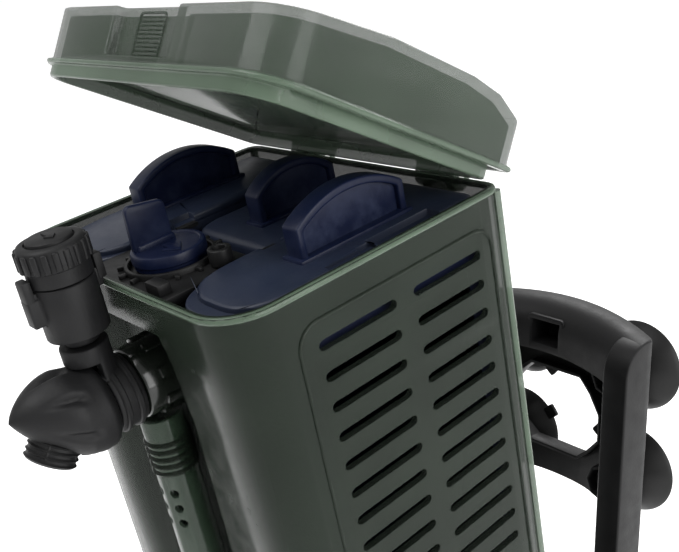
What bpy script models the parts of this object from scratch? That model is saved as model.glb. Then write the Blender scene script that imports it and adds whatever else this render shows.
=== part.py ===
"""Underwater canister filter: hinged clear housing, three lift-out cartridges, pump, nozzle, cup bracket.

Metres, +Z up. The origin is the centre of the housing's base; the nozzle is at the front, towards -Y.
"""
import math

import bmesh
import bpy
from mathutils import Matrix, Vector

# ---------------------------------------------------------------- driving dimensions
GAP = 0.0004                    # clearance between pieces that touch or slide
WALL = 0.0022                   # moulded wall of the housing and lid
WIDTH = 0.123                   # housing, side to side
DEPTH = 0.100                   # housing, front to rear at the rim
HEIGHT = 0.300                  # base to rim
FRONT_CORNER = 0.015
REAR_CORNER = 0.005
BELLY_DRAFT = 0.003             # how far the front face steps back below the rim band
FOOT_RADIUS = 0.004
FLOOR = 0.003

RECESS_WIDTH = 0.052            # vertical recess in the front wall
RECESS_DEPTH = 0.0095
RECESS_TAPER = 0.003
RECESS_TOP = 0.279
RECESS_ROOF = 0.010

SLOT_HEIGHT = 0.0032
SLOT_LENGTH = 0.028
SLOT_PITCH = 0.0093
SLOT_TOP = 0.283
SLOT_COUNT = 26
SLOT_COLUMN_FRONTS = (-0.025, 0.0095)

LID_ANGLE = math.radians(33.0)  # how far the lid stands open at rest
LID_LENGTH = 0.0965
LID_HEIGHT = 0.0215
LID_OVERHANG = 0.0010
LID_SKIRT = 0.0040
LID_FLANGE = 0.0016
GRIP_WIDTH = 0.034
GRIP_DEPTH = 0.003
GRIP_BASE = 0.0038              # pocket floor above the lid's lower face
GRIP_WALL = 0.0014
SEAT_EDGE = 0.0026              # ledge round the caps, where the lid's skirt comes down
SEAT_DROP = 0.0026
HINGE_OUT = 0.005               # hinge axis behind the rear wall
HINGE_DROP = 0.003              # hinge axis below the rim
HINGE_SPREAD = 0.0324
KNUCKLE_WIDTH = 0.009
EAR_WIDTH = 0.0036
HINGE_RADIUS = 0.004
PIN_RADIUS = 0.0014

CAP_TOP = 0.2983                # top face of the side cartridges
CAP_THICK = 0.011
CAP_WIDTH = 0.0355
CAP_REAR_GAP = 0.003
HANDLE_SPREAD = 0.042           # side handles, from the centre plane
HANDLE_FRONT = -0.013
HANDLE_LENGTH = 0.040
HANDLE_SIDE = 0.0095
HANDLE_CROWN = 0.016
HANDLE_THICK = 0.0065
BASKET_WIDTH = 0.040
BASKET_FRONT = -0.006
BASKET_DROP = 0.0033            # the centre cap sits this much lower
BASKET_HANDLE_LENGTH = 0.032
BASKET_HANDLE_FRONT = 0.0042
CAGE_BOTTOM = 0.012
CAGE_WALL = 0.0016
FOAM_CLEAR = 0.0006

PLATE_TOP = 0.2960
PLATE_THICK = 0.003
PLATE_WIDTH = 0.054
PLATE_DEPTH = 0.034
KNOB_Y = -0.0273
KNOB_RADIUS = 0.0113
KNOB_THICK = 0.0052
WING_HEIGHT = 0.0135
WING_LENGTH = 0.0135
WING_THICK = 0.0022
WING_OFFSET = -0.005
POST_X = 0.0235
POST_RADIUS = 0.0035

TUBE_RADIUS = 0.0068
TUBE_WALL = 0.0015
TUBE_BOTTOM = 0.016
HOLE_RADIUS = 0.0015
HOLE_PITCH = 0.0057
HOLE_GROUP_PITCH = 0.029
HOLE_GROUPS = 7

NOZZLE_Z = 0.2660
SOCKET_RADIUS = 0.0118
SOCKET_BORE = 0.0092
SOCKET_OUT = 0.0135             # socket length in front of the recess wall
COLLAR_RADIUS = 0.0108
COLLAR_LENGTH = 0.0088
STEM_RADIUS = 0.0070
STEM_TOP = 0.2853
HEAD_LENGTH = 0.0265
HEAD_RADIUS = 0.0135
MOUTH_RADIUS = 0.0075
MOUTH_TILT = math.radians(52.0)
INSERT_WALL = 0.0012
VALVE_RADIUS = 0.0090
VALVE_BOTTOM = 0.2888
VALVE_TOP = 0.3050
VALVE_NECK = 0.0050
DIAL_RADIUS = 0.0098
DIAL_HEIGHT = 0.0105
KNURLS = 20

MOTOR_RADIUS = 0.0215
MOTOR_HEIGHT = 0.052
MOTOR_Y = 0.008
IMPELLER_RADIUS = 0.0120
SHAFT_RADIUS = 0.0015
BLADES = 6

BRACKET_TILT = math.radians(11.6)
BRACKET_WIDTH = 0.100
BRACKET_BASE = 0.020            # height of the rails' lower ends
BRACKET_OFF = 0.036             # rails stand this far behind the rear wall
RAIL_WIDTH = 0.011
RAIL_DEPTH = 0.017
RAIL_HEIGHT = 0.195
BEAM_HEIGHT = 0.022
BEAM_THICK = 0.009
BEAM_BOW = 0.014
WEB_THICK = 0.004
CUP_SPREAD = 0.030
CUP_ROWS = (0.114, 0.163)
CUP_RADIUS = 0.020
CUP_DEPTH = 0.011
CUP_WALL = 0.0018
CUP_NECK = 0.0045
BOSS_PROUD = 0.0034
PIVOT_IN = 0.008
PIVOT_UP = 0.005

GLAND_X = -0.046
GLAND_Z = 0.282
GLAND_RADIUS = 0.0050

REAR_Y = DEPTH / 2
RIM_FRONT_Y = -DEPTH / 2
BELLY_FRONT_Y = RIM_FRONT_Y + BELLY_DRAFT
RECESS_Y = BELLY_FRONT_Y + RECESS_DEPTH
HALF = WIDTH / 2
HINGE = Vector((0.0, REAR_Y + HINGE_OUT, HEIGHT - HINGE_DROP))
COLLAR_Y = RECESS_Y - SOCKET_OUT - GAP
SEAT_FRONT = -0.0394
SEAT_REAR = 0.0446
VALVE_Y = RIM_FRONT_Y - DIAL_RADIUS - 0.0006

PIECES = None                   # the collection that holds the finished pieces


# ---------------------------------------------------------------- small helpers
def clear_scene():
    for item in list(bpy.data.objects):
        bpy.data.objects.remove(item, do_unlink=True)


def new_collection(name):
    group = bpy.data.collections.new(name)
    bpy.context.scene.collection.children.link(group)
    return group


def material(name, colour, roughness, metallic=0.0, alpha=1.0):
    found = bpy.data.materials.get(name)
    if found:
        return found
    made = bpy.data.materials.new(name)
    made.use_nodes = True
    shader = made.node_tree.nodes["Principled BSDF"]
    shader.inputs["Base Color"].default_value = (*colour, 1.0)
    shader.inputs["Roughness"].default_value = roughness
    shader.inputs["Metallic"].default_value = metallic
    shader.inputs["Alpha"].default_value = alpha
    return made


def paint(item, finish):
    """Give one finished piece its own material, named for the piece."""
    name, colour, roughness, metallic, alpha = finish
    own = material(item.name + "_" + name, colour, roughness, metallic, alpha)
    item.data.materials.clear()
    item.data.materials.append(own)
    item.data.shade_smooth()
    item.data.set_sharp_from_angle(angle=math.radians(35.0))
    return item


GREEN = ("green_clear", (0.16, 0.24, 0.18), 0.12, 0.0, 0.45)
BLUE = ("blue", (0.012, 0.025, 0.11), 0.42, 0.0, 1.0)
BLACK = ("black", (0.02, 0.02, 0.022), 0.45, 0.0, 1.0)
RUBBER = ("rubber", (0.015, 0.015, 0.016), 0.6, 0.0, 1.0)
FOAM = ("foam", (0.03, 0.035, 0.035), 0.95, 0.0, 1.0)
MEDIA = ("media", (0.35, 0.32, 0.28), 0.9, 0.0, 1.0)
STEEL = ("steel", (0.55, 0.55, 0.56), 0.25, 1.0, 1.0)


def from_bmesh(name, source):
    mesh = bpy.data.meshes.new(name)
    bmesh.ops.recalc_face_normals(source, faces=source.faces)
    source.to_mesh(mesh)
    source.free()
    item = bpy.data.objects.new(name, mesh)
    PIECES.objects.link(item)
    return item


def bake(item, merge=0.00001):
    """Replace an object by the plain mesh that its modifiers or curve give."""
    bpy.context.view_layer.update()
    seen = item.evaluated_get(bpy.context.evaluated_depsgraph_get())
    mesh = bpy.data.meshes.new_from_object(seen)
    work = bmesh.new()
    work.from_mesh(mesh)
    if merge:
        bmesh.ops.remove_doubles(work, verts=work.verts, dist=merge)
    work.to_mesh(mesh)
    work.free()
    solid = bpy.data.objects.new("solid", mesh)
    solid.matrix_world = item.matrix_world
    PIECES.objects.link(solid)
    name = item.name
    bpy.data.objects.remove(item, do_unlink=True)
    solid.name = name
    solid.data.name = name
    return solid


def combine(target, tools, operation):
    """Boolean a list of solids into or out of the target, one after another."""
    for tool in tools:
        step = target.modifiers.new("step", "BOOLEAN")
        step.operation = operation
        step.solver = "EXACT"
        step.object = tool
        target = bake(target, 0.0)
        bpy.data.objects.remove(tool, do_unlink=True)
    return target


def join_solids(target, *tools):
    return combine(target, tools, "UNION")


def cut(target, *tools):
    return combine(target, tools, "DIFFERENCE")


def box(name, low, high, bevel=0.0):
    work = bmesh.new()
    low = Vector(low)
    high = Vector(high)
    size = high - low
    place = Matrix.Translation((low + high) / 2) @ Matrix.Diagonal((*size, 1.0))
    bmesh.ops.create_cube(work, size=1.0, matrix=place)
    if bevel:
        bmesh.ops.bevel(work, geom=work.edges[:], offset=bevel, segments=2, profile=0.5, affect="EDGES")
    return from_bmesh(name, work)


def rod(name, start, end, radius, end_radius=None, sides=24):
    """A cylinder or cone from one point to another."""
    start = Vector(start)
    end = Vector(end)
    along = end - start
    turn = along.to_track_quat("Z", "Y").to_matrix().to_4x4()
    work = bmesh.new()
    bmesh.ops.create_cone(
        work, cap_ends=True, segments=sides, radius1=radius,
        radius2=radius if end_radius is None else end_radius, depth=along.length,
        matrix=Matrix.Translation((start + end) / 2) @ turn)
    return from_bmesh(name, work)


def turned(name, profile, place, sides=32):
    """Turn a closed profile of (radius, height) points, outer side first from the top down."""
    mesh = bpy.data.meshes.new(name)
    points = [(r, 0.0, z) for r, z in profile]
    mesh.from_pydata(points, [(i, i + 1) for i in range(len(points) - 1)], [])
    item = bpy.data.objects.new(name, mesh)
    PIECES.objects.link(item)
    spin = item.modifiers.new("turn", "SCREW")
    spin.steps = sides
    spin.render_steps = sides
    spin.use_merge_vertices = True
    spin.merge_threshold = 0.00001
    item = bake(item)
    item.data.transform(place)
    return item


def prism(name, outline, low, high, place=None):
    """Extrude a flat outline of (x, y) points from one height to another."""
    curve = bpy.data.curves.new(name, "CURVE")
    curve.dimensions = "2D"
    curve.fill_mode = "BOTH"
    curve.extrude = (high - low) / 2
    line = curve.splines.new("POLY")
    line.points.add(len(outline) - 1)
    for point, (x, y) in zip(line.points, outline):
        point.co = (x, y, 0.0, 1.0)
    line.use_cyclic_u = True
    item = bpy.data.objects.new(name, curve)
    PIECES.objects.link(item)
    item = bake(item)
    item.data.transform(Matrix.Translation((0.0, 0.0, (low + high) / 2)))
    if place is not None:
        item.data.transform(place)
    return item


# an outline drawn as (y, z) and deep along x
ON_SIDE = Matrix(((0, 0, 1, 0), (1, 0, 0, 0), (0, 1, 0, 0), (0, 0, 0, 1)))
# local +Z becomes world -Y
ALONG_Y = Matrix.Rotation(math.radians(90.0), 4, "X")


def arc(centre, radius, start, end, steps):
    """Points on an arc, in degrees, both ends included."""
    turns = [math.radians(start + (end - start) * i / steps) for i in range(steps + 1)]
    return [(centre[0] + radius * math.cos(t), centre[1] + radius * math.sin(t)) for t in turns]


def rounded(x0, x1, y0, y1, front, rear, steps=5):
    """A rectangle with its own corner radius at the front and at the rear."""
    points = arc((x0 + front, y0 + front), front, 180, 270, steps)
    points += arc((x1 - front, y0 + front), front, 270, 360, steps)
    points += arc((x1 - rear, y1 - rear), rear, 0, 90, steps)
    points += arc((x0 + rear, y1 - rear), rear, 90, 180, steps)
    return points


def hang(pivot, angle, items, name):
    """Parent pieces to an empty on their joint's axis, turned about X by the angle."""
    holder = bpy.data.objects.new(name, None)
    holder.location = pivot
    holder.rotation_euler = (angle, 0.0, 0.0)
    PIECES.objects.link(holder)
    for item in items:
        item.data.transform(Matrix.Translation(-Vector(pivot)))
        item.parent = holder


# ---------------------------------------------------------------- housing
def housing_outline(front_y, groove_y, inset):
    """Half of the section is listed and mirrored, so every ring has the same count of points."""
    half = HALF - inset
    front = front_y + inset
    rear = REAR_Y - inset
    groove = groove_y + inset
    lip = RECESS_WIDTH / 2 + inset
    floor = lip - RECESS_TAPER
    right = [(floor, groove), (lip, front)]
    corner = max(FRONT_CORNER - inset, 0.001)
    right += arc((half - corner, front + corner), corner, 270, 360, 6)
    corner = max(REAR_CORNER - inset, 0.001)
    right += arc((half - corner, rear - corner), corner, 0, 90, 3)
    left = [(-x, y) for x, y in reversed(right)]
    return right + left


def housing_rings(inset, bottom):
    """Heights and sections of the outer or inner wall, base to rim."""
    belly = BELLY_FRONT_Y
    levels = [
        (bottom, belly, RECESS_Y, inset + FOOT_RADIUS),
        (bottom + FOOT_RADIUS, belly, RECESS_Y, inset),
        (HEIGHT - 0.040, belly, RECESS_Y, inset),
        (RECESS_TOP, belly + (RIM_FRONT_Y - belly) * 0.5, RECESS_Y, inset),
        (RECESS_TOP + RECESS_ROOF, RIM_FRONT_Y, RIM_FRONT_Y, inset),
        (HEIGHT, RIM_FRONT_Y, RIM_FRONT_Y, inset),
    ]
    return [[(x, y, z) for x, y in housing_outline(front, groove, gap)] for z, front, groove, gap in levels]


def loft(name, rings):
    """Skin between rings with the same count of points, closed at both ends."""
    work = bmesh.new()
    rows = [[work.verts.new(p) for p in ring] for ring in rings]
    count = len(rows[0])
    for lower, upper in zip(rows, rows[1:]):
        for i in range(count):
            j = (i + 1) % count
            work.faces.new((lower[i], lower[j], upper[j], upper[i]))
    work.faces.new(list(reversed(rows[0])))
    work.faces.new(rows[-1])
    return from_bmesh(name, work)


def slot_cutter(front, height):
    """A stadium prism that passes through both side walls."""
    radius = SLOT_HEIGHT / 2
    outline = arc((front + radius, height), radius, 90, 270, 4)
    outline += arc((front + SLOT_LENGTH - radius, height), radius, 270, 450, 4)
    return prism("slot", outline, -HALF - WALL, HALF + WALL, ON_SIDE)


def build_housing():
    shell = loft("housing", housing_rings(0.0, 0.0))
    inner = housing_rings(WALL, FLOOR)
    top = [(x, y, z + 0.01) for x, y, z in inner[-1]]
    shell = cut(shell, loft("cavity", inner + [top]))
    gland = rod("gland_hole", (GLAND_X, REAR_Y - 0.01, GLAND_Z), (GLAND_X, REAR_Y + 0.01, GLAND_Z),
                GLAND_RADIUS)
    socket = rod("socket_hole", (0, RECESS_Y - 0.01, NOZZLE_Z), (0, RECESS_Y + 0.01, NOZZLE_Z), 0.006)
    shell = cut(shell, gland, socket)
    cutters = []
    for front in SLOT_COLUMN_FRONTS:
        for i in range(SLOT_COUNT):
            cutters.append(slot_cutter(front, SLOT_TOP - i * SLOT_PITCH))
    work = bmesh.new()
    for tool in cutters:
        work.from_mesh(tool.data)
        bpy.data.objects.remove(tool, do_unlink=True)
    shell = cut(shell, from_bmesh("slots", work))
    paint(shell, GREEN)


def build_gland():
    y = REAR_Y
    lip = 0.0022
    profile = [
        (0.0, lip + WALL + GAP), (GLAND_RADIUS + 0.0015, lip + WALL + GAP), (GLAND_RADIUS + 0.0015,
                                                                             WALL + GAP),
        (GLAND_RADIUS - GAP, WALL + GAP), (GLAND_RADIUS - GAP, -GAP), (GLAND_RADIUS + 0.0015, -GAP),
        (GLAND_RADIUS + 0.0015, -lip), (0.0, -lip)]
    place = Matrix.Translation((GLAND_X, y, GLAND_Z)) @ ALONG_Y
    paint(turned("cord_gland", profile, place, 20), RUBBER)


def build_knuckles():
    for side, sign in (("left", -1), ("right", 1)):
        x = sign * HINGE_SPREAD
        low = x - KNUCKLE_WIDTH / 2
        high = x + KNUCKLE_WIDTH / 2
        outline = [(REAR_Y + GAP, HINGE.z - 0.001), (REAR_Y + GAP, HINGE.z - 0.012)]
        outline += arc((HINGE.y, HINGE.z), HINGE_RADIUS, -30, 180, 10)
        lug = prism("hinge_knuckle_" + side, outline, low, high, ON_SIDE)
        bore = rod("bore", (low - 0.01, HINGE.y, HINGE.z), (high + 0.01, HINGE.y, HINGE.z),
                   PIN_RADIUS + GAP)
        paint(cut(lug, bore), GREEN)
        reach = KNUCKLE_WIDTH / 2 + GAP + EAR_WIDTH
        pin = rod("hinge_pin_" + side, (x - reach, HINGE.y, HINGE.z), (x + reach, HINGE.y, HINGE.z),
                  PIN_RADIUS, sides=16)
        paint(pin, STEEL)


# ---------------------------------------------------------------- lid, modelled shut and hung open
def lid_roof(drop, width):
    """Side profile of the lid's top, extruded across the lid."""
    rear = REAR_Y + HINGE_OUT - 0.0012
    front = rear - LID_LENGTH
    base = HEIGHT + GAP + 0.0002
    top = base + LID_HEIGHT
    line = [
        (front - 0.01, base - 0.02), (rear + 0.01, base - 0.02), (rear + 0.01, top - 0.009 - drop),
        (rear - 0.004, top - 0.006 - drop), (rear - 0.014, top - 0.0015 - drop), (rear - 0.026, top - drop),
        (rear - 0.058, top - drop), (front + 0.002, top - 0.0035 - drop), (front - 0.01,
                                                                           top - 0.0045 - drop)]
    return prism("roof", line, -width, width, ON_SIDE)


def build_lid():
    rear = REAR_Y + HINGE_OUT - 0.0012
    front = rear - LID_LENGTH
    base = HEIGHT + GAP + 0.0002
    half = HALF + LID_OVERHANG
    inset = 0.0016

    def section(gap):
        return rounded(-half + gap, half - gap, front + gap, rear - gap, FRONT_CORNER - gap,
                       max(REAR_CORNER - gap, 0.001))

    lid = prism("lid", section(inset), base, base + 0.04)
    lid = combine(lid, [lid_roof(0.0, WIDTH)], "INTERSECT")
    pocket = front + inset + GRIP_DEPTH
    grip = box("grip", (-GRIP_WIDTH / 2, front - 0.01, base + GRIP_BASE), (GRIP_WIDTH / 2, pocket,
                                                                           base + 0.05))
    lid = cut(lid, grip)
    hollow = prism("hollow", section(inset + WALL), base - 0.01, base + 0.04)
    hollow = combine(hollow, [lid_roof(WALL, WIDTH)], "INTERSECT")
    keep = box("keep", (-GRIP_WIDTH / 2 - WALL, front - 0.01, base + GRIP_BASE - WALL),
               (GRIP_WIDTH / 2 + WALL, pocket + GRIP_WALL, base + 0.05))
    lid = cut(lid, cut(hollow, keep))
    flange = prism("flange", section(0.0), base, base + LID_FLANGE)
    flange = cut(flange, prism("flange_hole", section(inset + WALL * 0.5), base - 0.01, base + 0.01))
    lid = join_solids(lid, flange)
    skirt_out = LID_OVERHANG + WALL + 0.0010
    skirt_half = half - skirt_out
    skirt_front = front + 0.0012
    skirt_rear = REAR_Y - WALL - 0.0010
    skirt = prism("skirt", rounded(-skirt_half, skirt_half, skirt_front, skirt_rear, 0.012, 0.003),
                  base - LID_SKIRT, base + LID_FLANGE)
    thin = 0.0015
    skirt = cut(skirt, prism("skirt_hole", rounded(-skirt_half + thin, skirt_half - thin,
                                                   skirt_front + thin,
                                                   skirt_rear - thin, 0.0105, 0.0015), base - 0.02, base + 0.02))
    lid = join_solids(lid, skirt)
    for sign in (-1, 1):
        for face in (-1, 1):
            near = sign * HINGE_SPREAD + face * (KNUCKLE_WIDTH / 2 + GAP)
            far = near + face * EAR_WIDTH
            low = min(near, far)
            high = max(near, far)
            outline = [(rear - 0.006, base + 0.006), (rear - 0.006, base + 0.0006)]
            outline += [(REAR_Y + 0.0006, base + 0.0004)]
            outline += arc((HINGE.y, HINGE.z), HINGE_RADIUS, 170, 360, 10)
            outline += [(HINGE.y + HINGE_RADIUS, base + 0.004), (rear - 0.001, base + 0.006)]
            ear = prism("ear", outline, low, high, ON_SIDE)
            lid = join_solids(lid, ear)
    for sign in (-1, 1):
        x = sign * HINGE_SPREAD
        reach = KNUCKLE_WIDTH / 2 + GAP * 0.9
        relief = rod("relief", (x - reach, HINGE.y, HINGE.z), (x + reach, HINGE.y, HINGE.z),
                     HINGE_RADIUS + 0.0012)
        reach = KNUCKLE_WIDTH / 2 + EAR_WIDTH + 0.01
        bore = rod("bore", (x - reach, HINGE.y, HINGE.z), (x + reach, HINGE.y, HINGE.z), PIN_RADIUS + GAP)
        lid = cut(lid, relief, bore)
    paint(lid, GREEN)
    hang(HINGE, -LID_ANGLE, [lid], "lid_axis")


# ---------------------------------------------------------------- cartridges
def handle_solid(x, front, length, base, side, crown):
    """Half-lens finger grip standing on a cartridge cap."""
    middle = front + length / 2
    rise = crown - side
    radius = ((length / 2) ** 2 + rise ** 2) / (2 * rise)
    sweep = math.degrees(math.asin(length / 2 / radius))
    top = arc((middle, base + crown - radius), radius, 90 - sweep, 90 + sweep, 12)
    outline = [(front, base - 0.002), (front + length, base - 0.002)] + top
    return prism("handle", outline, x - HANDLE_THICK / 2, x + HANDLE_THICK / 2, ON_SIDE)


def cage_solid(name, low, high, wall):
    """Open-sided crate: a floor, four corner posts and a top frame."""
    cage = box(name, low, high)
    x0, y0, z0 = low
    x1, y1, z1 = high
    inside = box("inside", (x0 + wall, y0 + wall, z0 + wall), (x1 - wall, y1 - wall, z1 + 0.01))
    cage = cut(cage, inside)
    band = 0.010
    rows = 3
    step = (z1 - z0 - band) / rows
    for i in range(rows):
        low_z = z0 + band + i * step
        high_z = low_z + step - band
        window_x = box("window", (x0 - 0.01, y0 + 0.008, low_z), (x1 + 0.01, y1 - 0.008, high_z))
        window_y = box("window", (x0 + 0.006, y0 - 0.01, low_z), (x1 - 0.006, y1 + 0.01, high_z))
        cage = cut(cage, window_x, window_y)
    return cage


def build_side_cartridge(side, sign):
    outer = HALF - WALL - GAP * 2
    inner = outer - CAP_WIDTH
    front = RIM_FRONT_Y + WALL + 0.004
    rear = REAR_Y - WALL - CAP_REAR_GAP
    base = CAP_TOP - CAP_THICK
    low_x = min(sign * inner, sign * outer)
    high_x = max(sign * inner, sign * outer)
    seat = CAP_TOP - SEAT_DROP
    cap = prism("cartridge_cap_" + side, rounded(low_x, high_x, front, rear, 0.0135, 0.004), base, seat)
    ledge_x = sign * (outer - SEAT_EDGE)
    low_top = min(sign * inner, ledge_x)
    high_top = max(sign * inner, ledge_x)
    upper = rounded(low_top, high_top, SEAT_FRONT, SEAT_REAR, 0.010, 0.003)
    cap = join_solids(cap, prism("upper", upper, seat - 0.001, CAP_TOP))
    cap = join_solids(cap, handle_solid(sign * HANDLE_SPREAD, HANDLE_FRONT, HANDLE_LENGTH, CAP_TOP,
                                        HANDLE_SIDE, HANDLE_CROWN))
    paint(cap, BLUE)
    low = (low_x + 0.0015, RECESS_Y + WALL + 0.003, CAGE_BOTTOM)
    high = (high_x - 0.0015, rear - 0.001, base - GAP)
    paint(cage_solid("cartridge_cage_" + side, low, high, CAGE_WALL), BLUE)
    pad = CAGE_WALL + FOAM_CLEAR
    foam = box("foam_pad_" + side, (low[0] + pad, low[1] + pad, low[2] + pad), (high[0] - pad,
                                                                                high[1] - pad, high[2] - FOAM_CLEAR), 0.002)
    paint(foam, FOAM)


def build_basket():
    half = BASKET_WIDTH / 2
    top = CAP_TOP - BASKET_DROP
    rear = REAR_Y - WALL - CAP_REAR_GAP
    base = top - CAP_THICK + 0.003
    cap = prism("basket_cap", rounded(-half, half, BASKET_FRONT, rear, 0.003, 0.003), base, top)
    handle = handle_solid(0.0, BASKET_HANDLE_FRONT, BASKET_HANDLE_LENGTH, top, HANDLE_SIDE, HANDLE_CROWN)
    paint(join_solids(cap, handle), BLUE)
    bottom = FLOOR + GAP + MOTOR_HEIGHT + 0.012
    low = (-half + 0.001, BASKET_FRONT + 0.001, bottom)
    high = (half - 0.001, rear - 0.001, base - GAP)
    paint(cage_solid("media_basket", low, high, CAGE_WALL), BLACK)
    pad = CAGE_WALL + FOAM_CLEAR
    media = box("bio_media", (low[0] + pad, low[1] + pad, low[2] + pad), (high[0] - pad, high[1] - pad,
                                                                          high[2] - FOAM_CLEAR), 0.002)
    paint(media, MEDIA)


# ---------------------------------------------------------------- flow control
def build_flow_control():
    half = PLATE_WIDTH / 2
    front = RIM_FRONT_Y + WALL + GAP
    plate_base = PLATE_TOP - PLATE_THICK
    inner_cap = HALF - WALL - GAP * 2 - CAP_WIDTH
    plate_half = min(half, inner_cap - GAP)
    plate = prism("valve_plate", rounded(-plate_half, plate_half, front, front + PLATE_DEPTH, 0.002, 0.002),
                  plate_base, PLATE_TOP)
    column = rod("column", (0, KNOB_Y, PLATE_TOP - 0.016), (0, KNOB_Y, PLATE_TOP - 0.001), 0.009)
    plate = join_solids(plate, column)
    bore = rod("bore", (0, KNOB_Y, PLATE_TOP - 0.03), (0, KNOB_Y, PLATE_TOP + 0.01), 0.0035 + GAP)
    paint(cut(plate, bore), BLACK)
    low = PLATE_TOP + GAP
    knob = rod("flow_knob", (0, KNOB_Y, low), (0, KNOB_Y, low + KNOB_THICK), KNOB_RADIUS, sides=32)
    spindle = rod("spindle", (0, KNOB_Y, PLATE_TOP - 0.014), (0, KNOB_Y, low + 0.001), 0.0035, sides=16)
    wing = box("wing", (WING_OFFSET - WING_THICK / 2, KNOB_Y - WING_LENGTH * 0.65,
                        low + KNOB_THICK - 0.001),
               (WING_OFFSET + WING_THICK / 2, KNOB_Y + WING_LENGTH * 0.35, low + KNOB_THICK + WING_HEIGHT))
    paint(join_solids(knob, spindle, wing), BLUE)
    reach = plate_half - POST_RADIUS - 0.001
    post = rod("plate_screw", (reach, KNOB_Y + 0.006, low), (reach, KNOB_Y + 0.006, low + 0.005),
               POST_RADIUS, sides=24)
    socket = rod("hex", (reach, KNOB_Y + 0.006, low + 0.002), (reach, KNOB_Y + 0.006, low + 0.02),
                 POST_RADIUS * 0.6, sides=6)
    paint(cut(post, socket), BLACK)


# ---------------------------------------------------------------- pump
def build_pump():
    y = MOTOR_Y
    low = FLOOR + GAP
    top = low + MOTOR_HEIGHT
    inner = MOTOR_RADIUS - 0.003
    chamber = top - 0.016
    at = Matrix.Translation((0.0, y, 0.0))
    profile = [(inner, top), (MOTOR_RADIUS, top), (MOTOR_RADIUS, low), (0.0, low), ]
    body = turned("motor_body", [(0.0, top)] + profile, at, 32)
    room = rod("room", (0, y, chamber), (0, y, top + 0.01), inner, sides=32)
    seat = rod("seat", (0, y, chamber - 0.006), (0, y, chamber + 0.001), SHAFT_RADIUS + GAP, sides=16)
    outlet = rod("outlet", (0, y, chamber + 0.008), (0, y - 0.05, chamber + 0.008), 0.0045)
    paint(cut(body, room, seat, outlet), BLACK)
    lid_low = top + GAP
    cover = rod("impeller_cover", (0, y, lid_low), (0, y, lid_low + 0.004), MOTOR_RADIUS, sides=32)
    intake = rod("intake", (0, y, lid_low - 0.01), (0, y, lid_low + 0.01), 0.006)
    paint(cut(cover, intake), BLACK)
    shaft = rod("impeller_shaft", (0, y, chamber - 0.005), (0, y, top - GAP), SHAFT_RADIUS, sides=16)
    paint(shaft, STEEL)
    base = chamber + 0.0015
    hub = rod("impeller", (0, y, base), (0, y, top - 0.0015), 0.0045)
    for i in range(BLADES):
        blade = box("blade", (0.002, -0.0006, base), (IMPELLER_RADIUS, 0.0006, top - 0.003))
        blade.data.transform(at @ Matrix.Rotation(math.tau * i / BLADES, 4, "Z"))
        hub = join_solids(hub, blade)
    bore = rod("bore", (0, y, base - 0.01), (0, y, top + 0.01), SHAFT_RADIUS + 0.0003, sides=16)
    paint(cut(hub, bore), RUBBER)


# ---------------------------------------------------------------- outlet tube and nozzle
def build_spray_tube():
    y = RECESS_Y - TUBE_RADIUS - GAP
    top = NOZZLE_Z - SOCKET_RADIUS - 0.0010
    outer = rod("spray_tube", (0, y, TUBE_BOTTOM), (0, y, top), TUBE_RADIUS, sides=24)
    inner = rod("inner", (0, y, TUBE_BOTTOM + TUBE_WALL), (0, y, top + 0.01), TUBE_RADIUS - TUBE_WALL,
                sides=24)
    tube = cut(outer, inner)
    holes = bmesh.new()
    for group in range(HOLE_GROUPS):
        for row in range(3):
            z = top - 0.026 - group * HOLE_GROUP_PITCH - row * HOLE_PITCH
            for angle in (-62.0, -12.0, 38.0):
                turn = math.radians(angle)
                out = Vector((math.sin(turn), -math.cos(turn), 0.0))
                start = Vector((0, y, z)) + out * (TUBE_RADIUS - 2.2 * TUBE_WALL)
                hole = rod("hole", start, start + out * 0.006, HOLE_RADIUS, sides=8)
                holes.from_mesh(hole.data)
                bpy.data.objects.remove(hole, do_unlink=True)
    paint(cut(tube, from_bmesh("holes", holes)), GREEN)
    for side, sign in (("left", -1), ("right", 1)):
        x = sign * (TUBE_RADIUS + 0.004)
        clip = box("tube_clip_" + side, (x - 0.0012, RECESS_Y - 0.010, 0.030), (x + 0.0012, RECESS_Y - GAP,
                                                                                0.036), 0.0004)
        paint(clip, BLACK)


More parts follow.
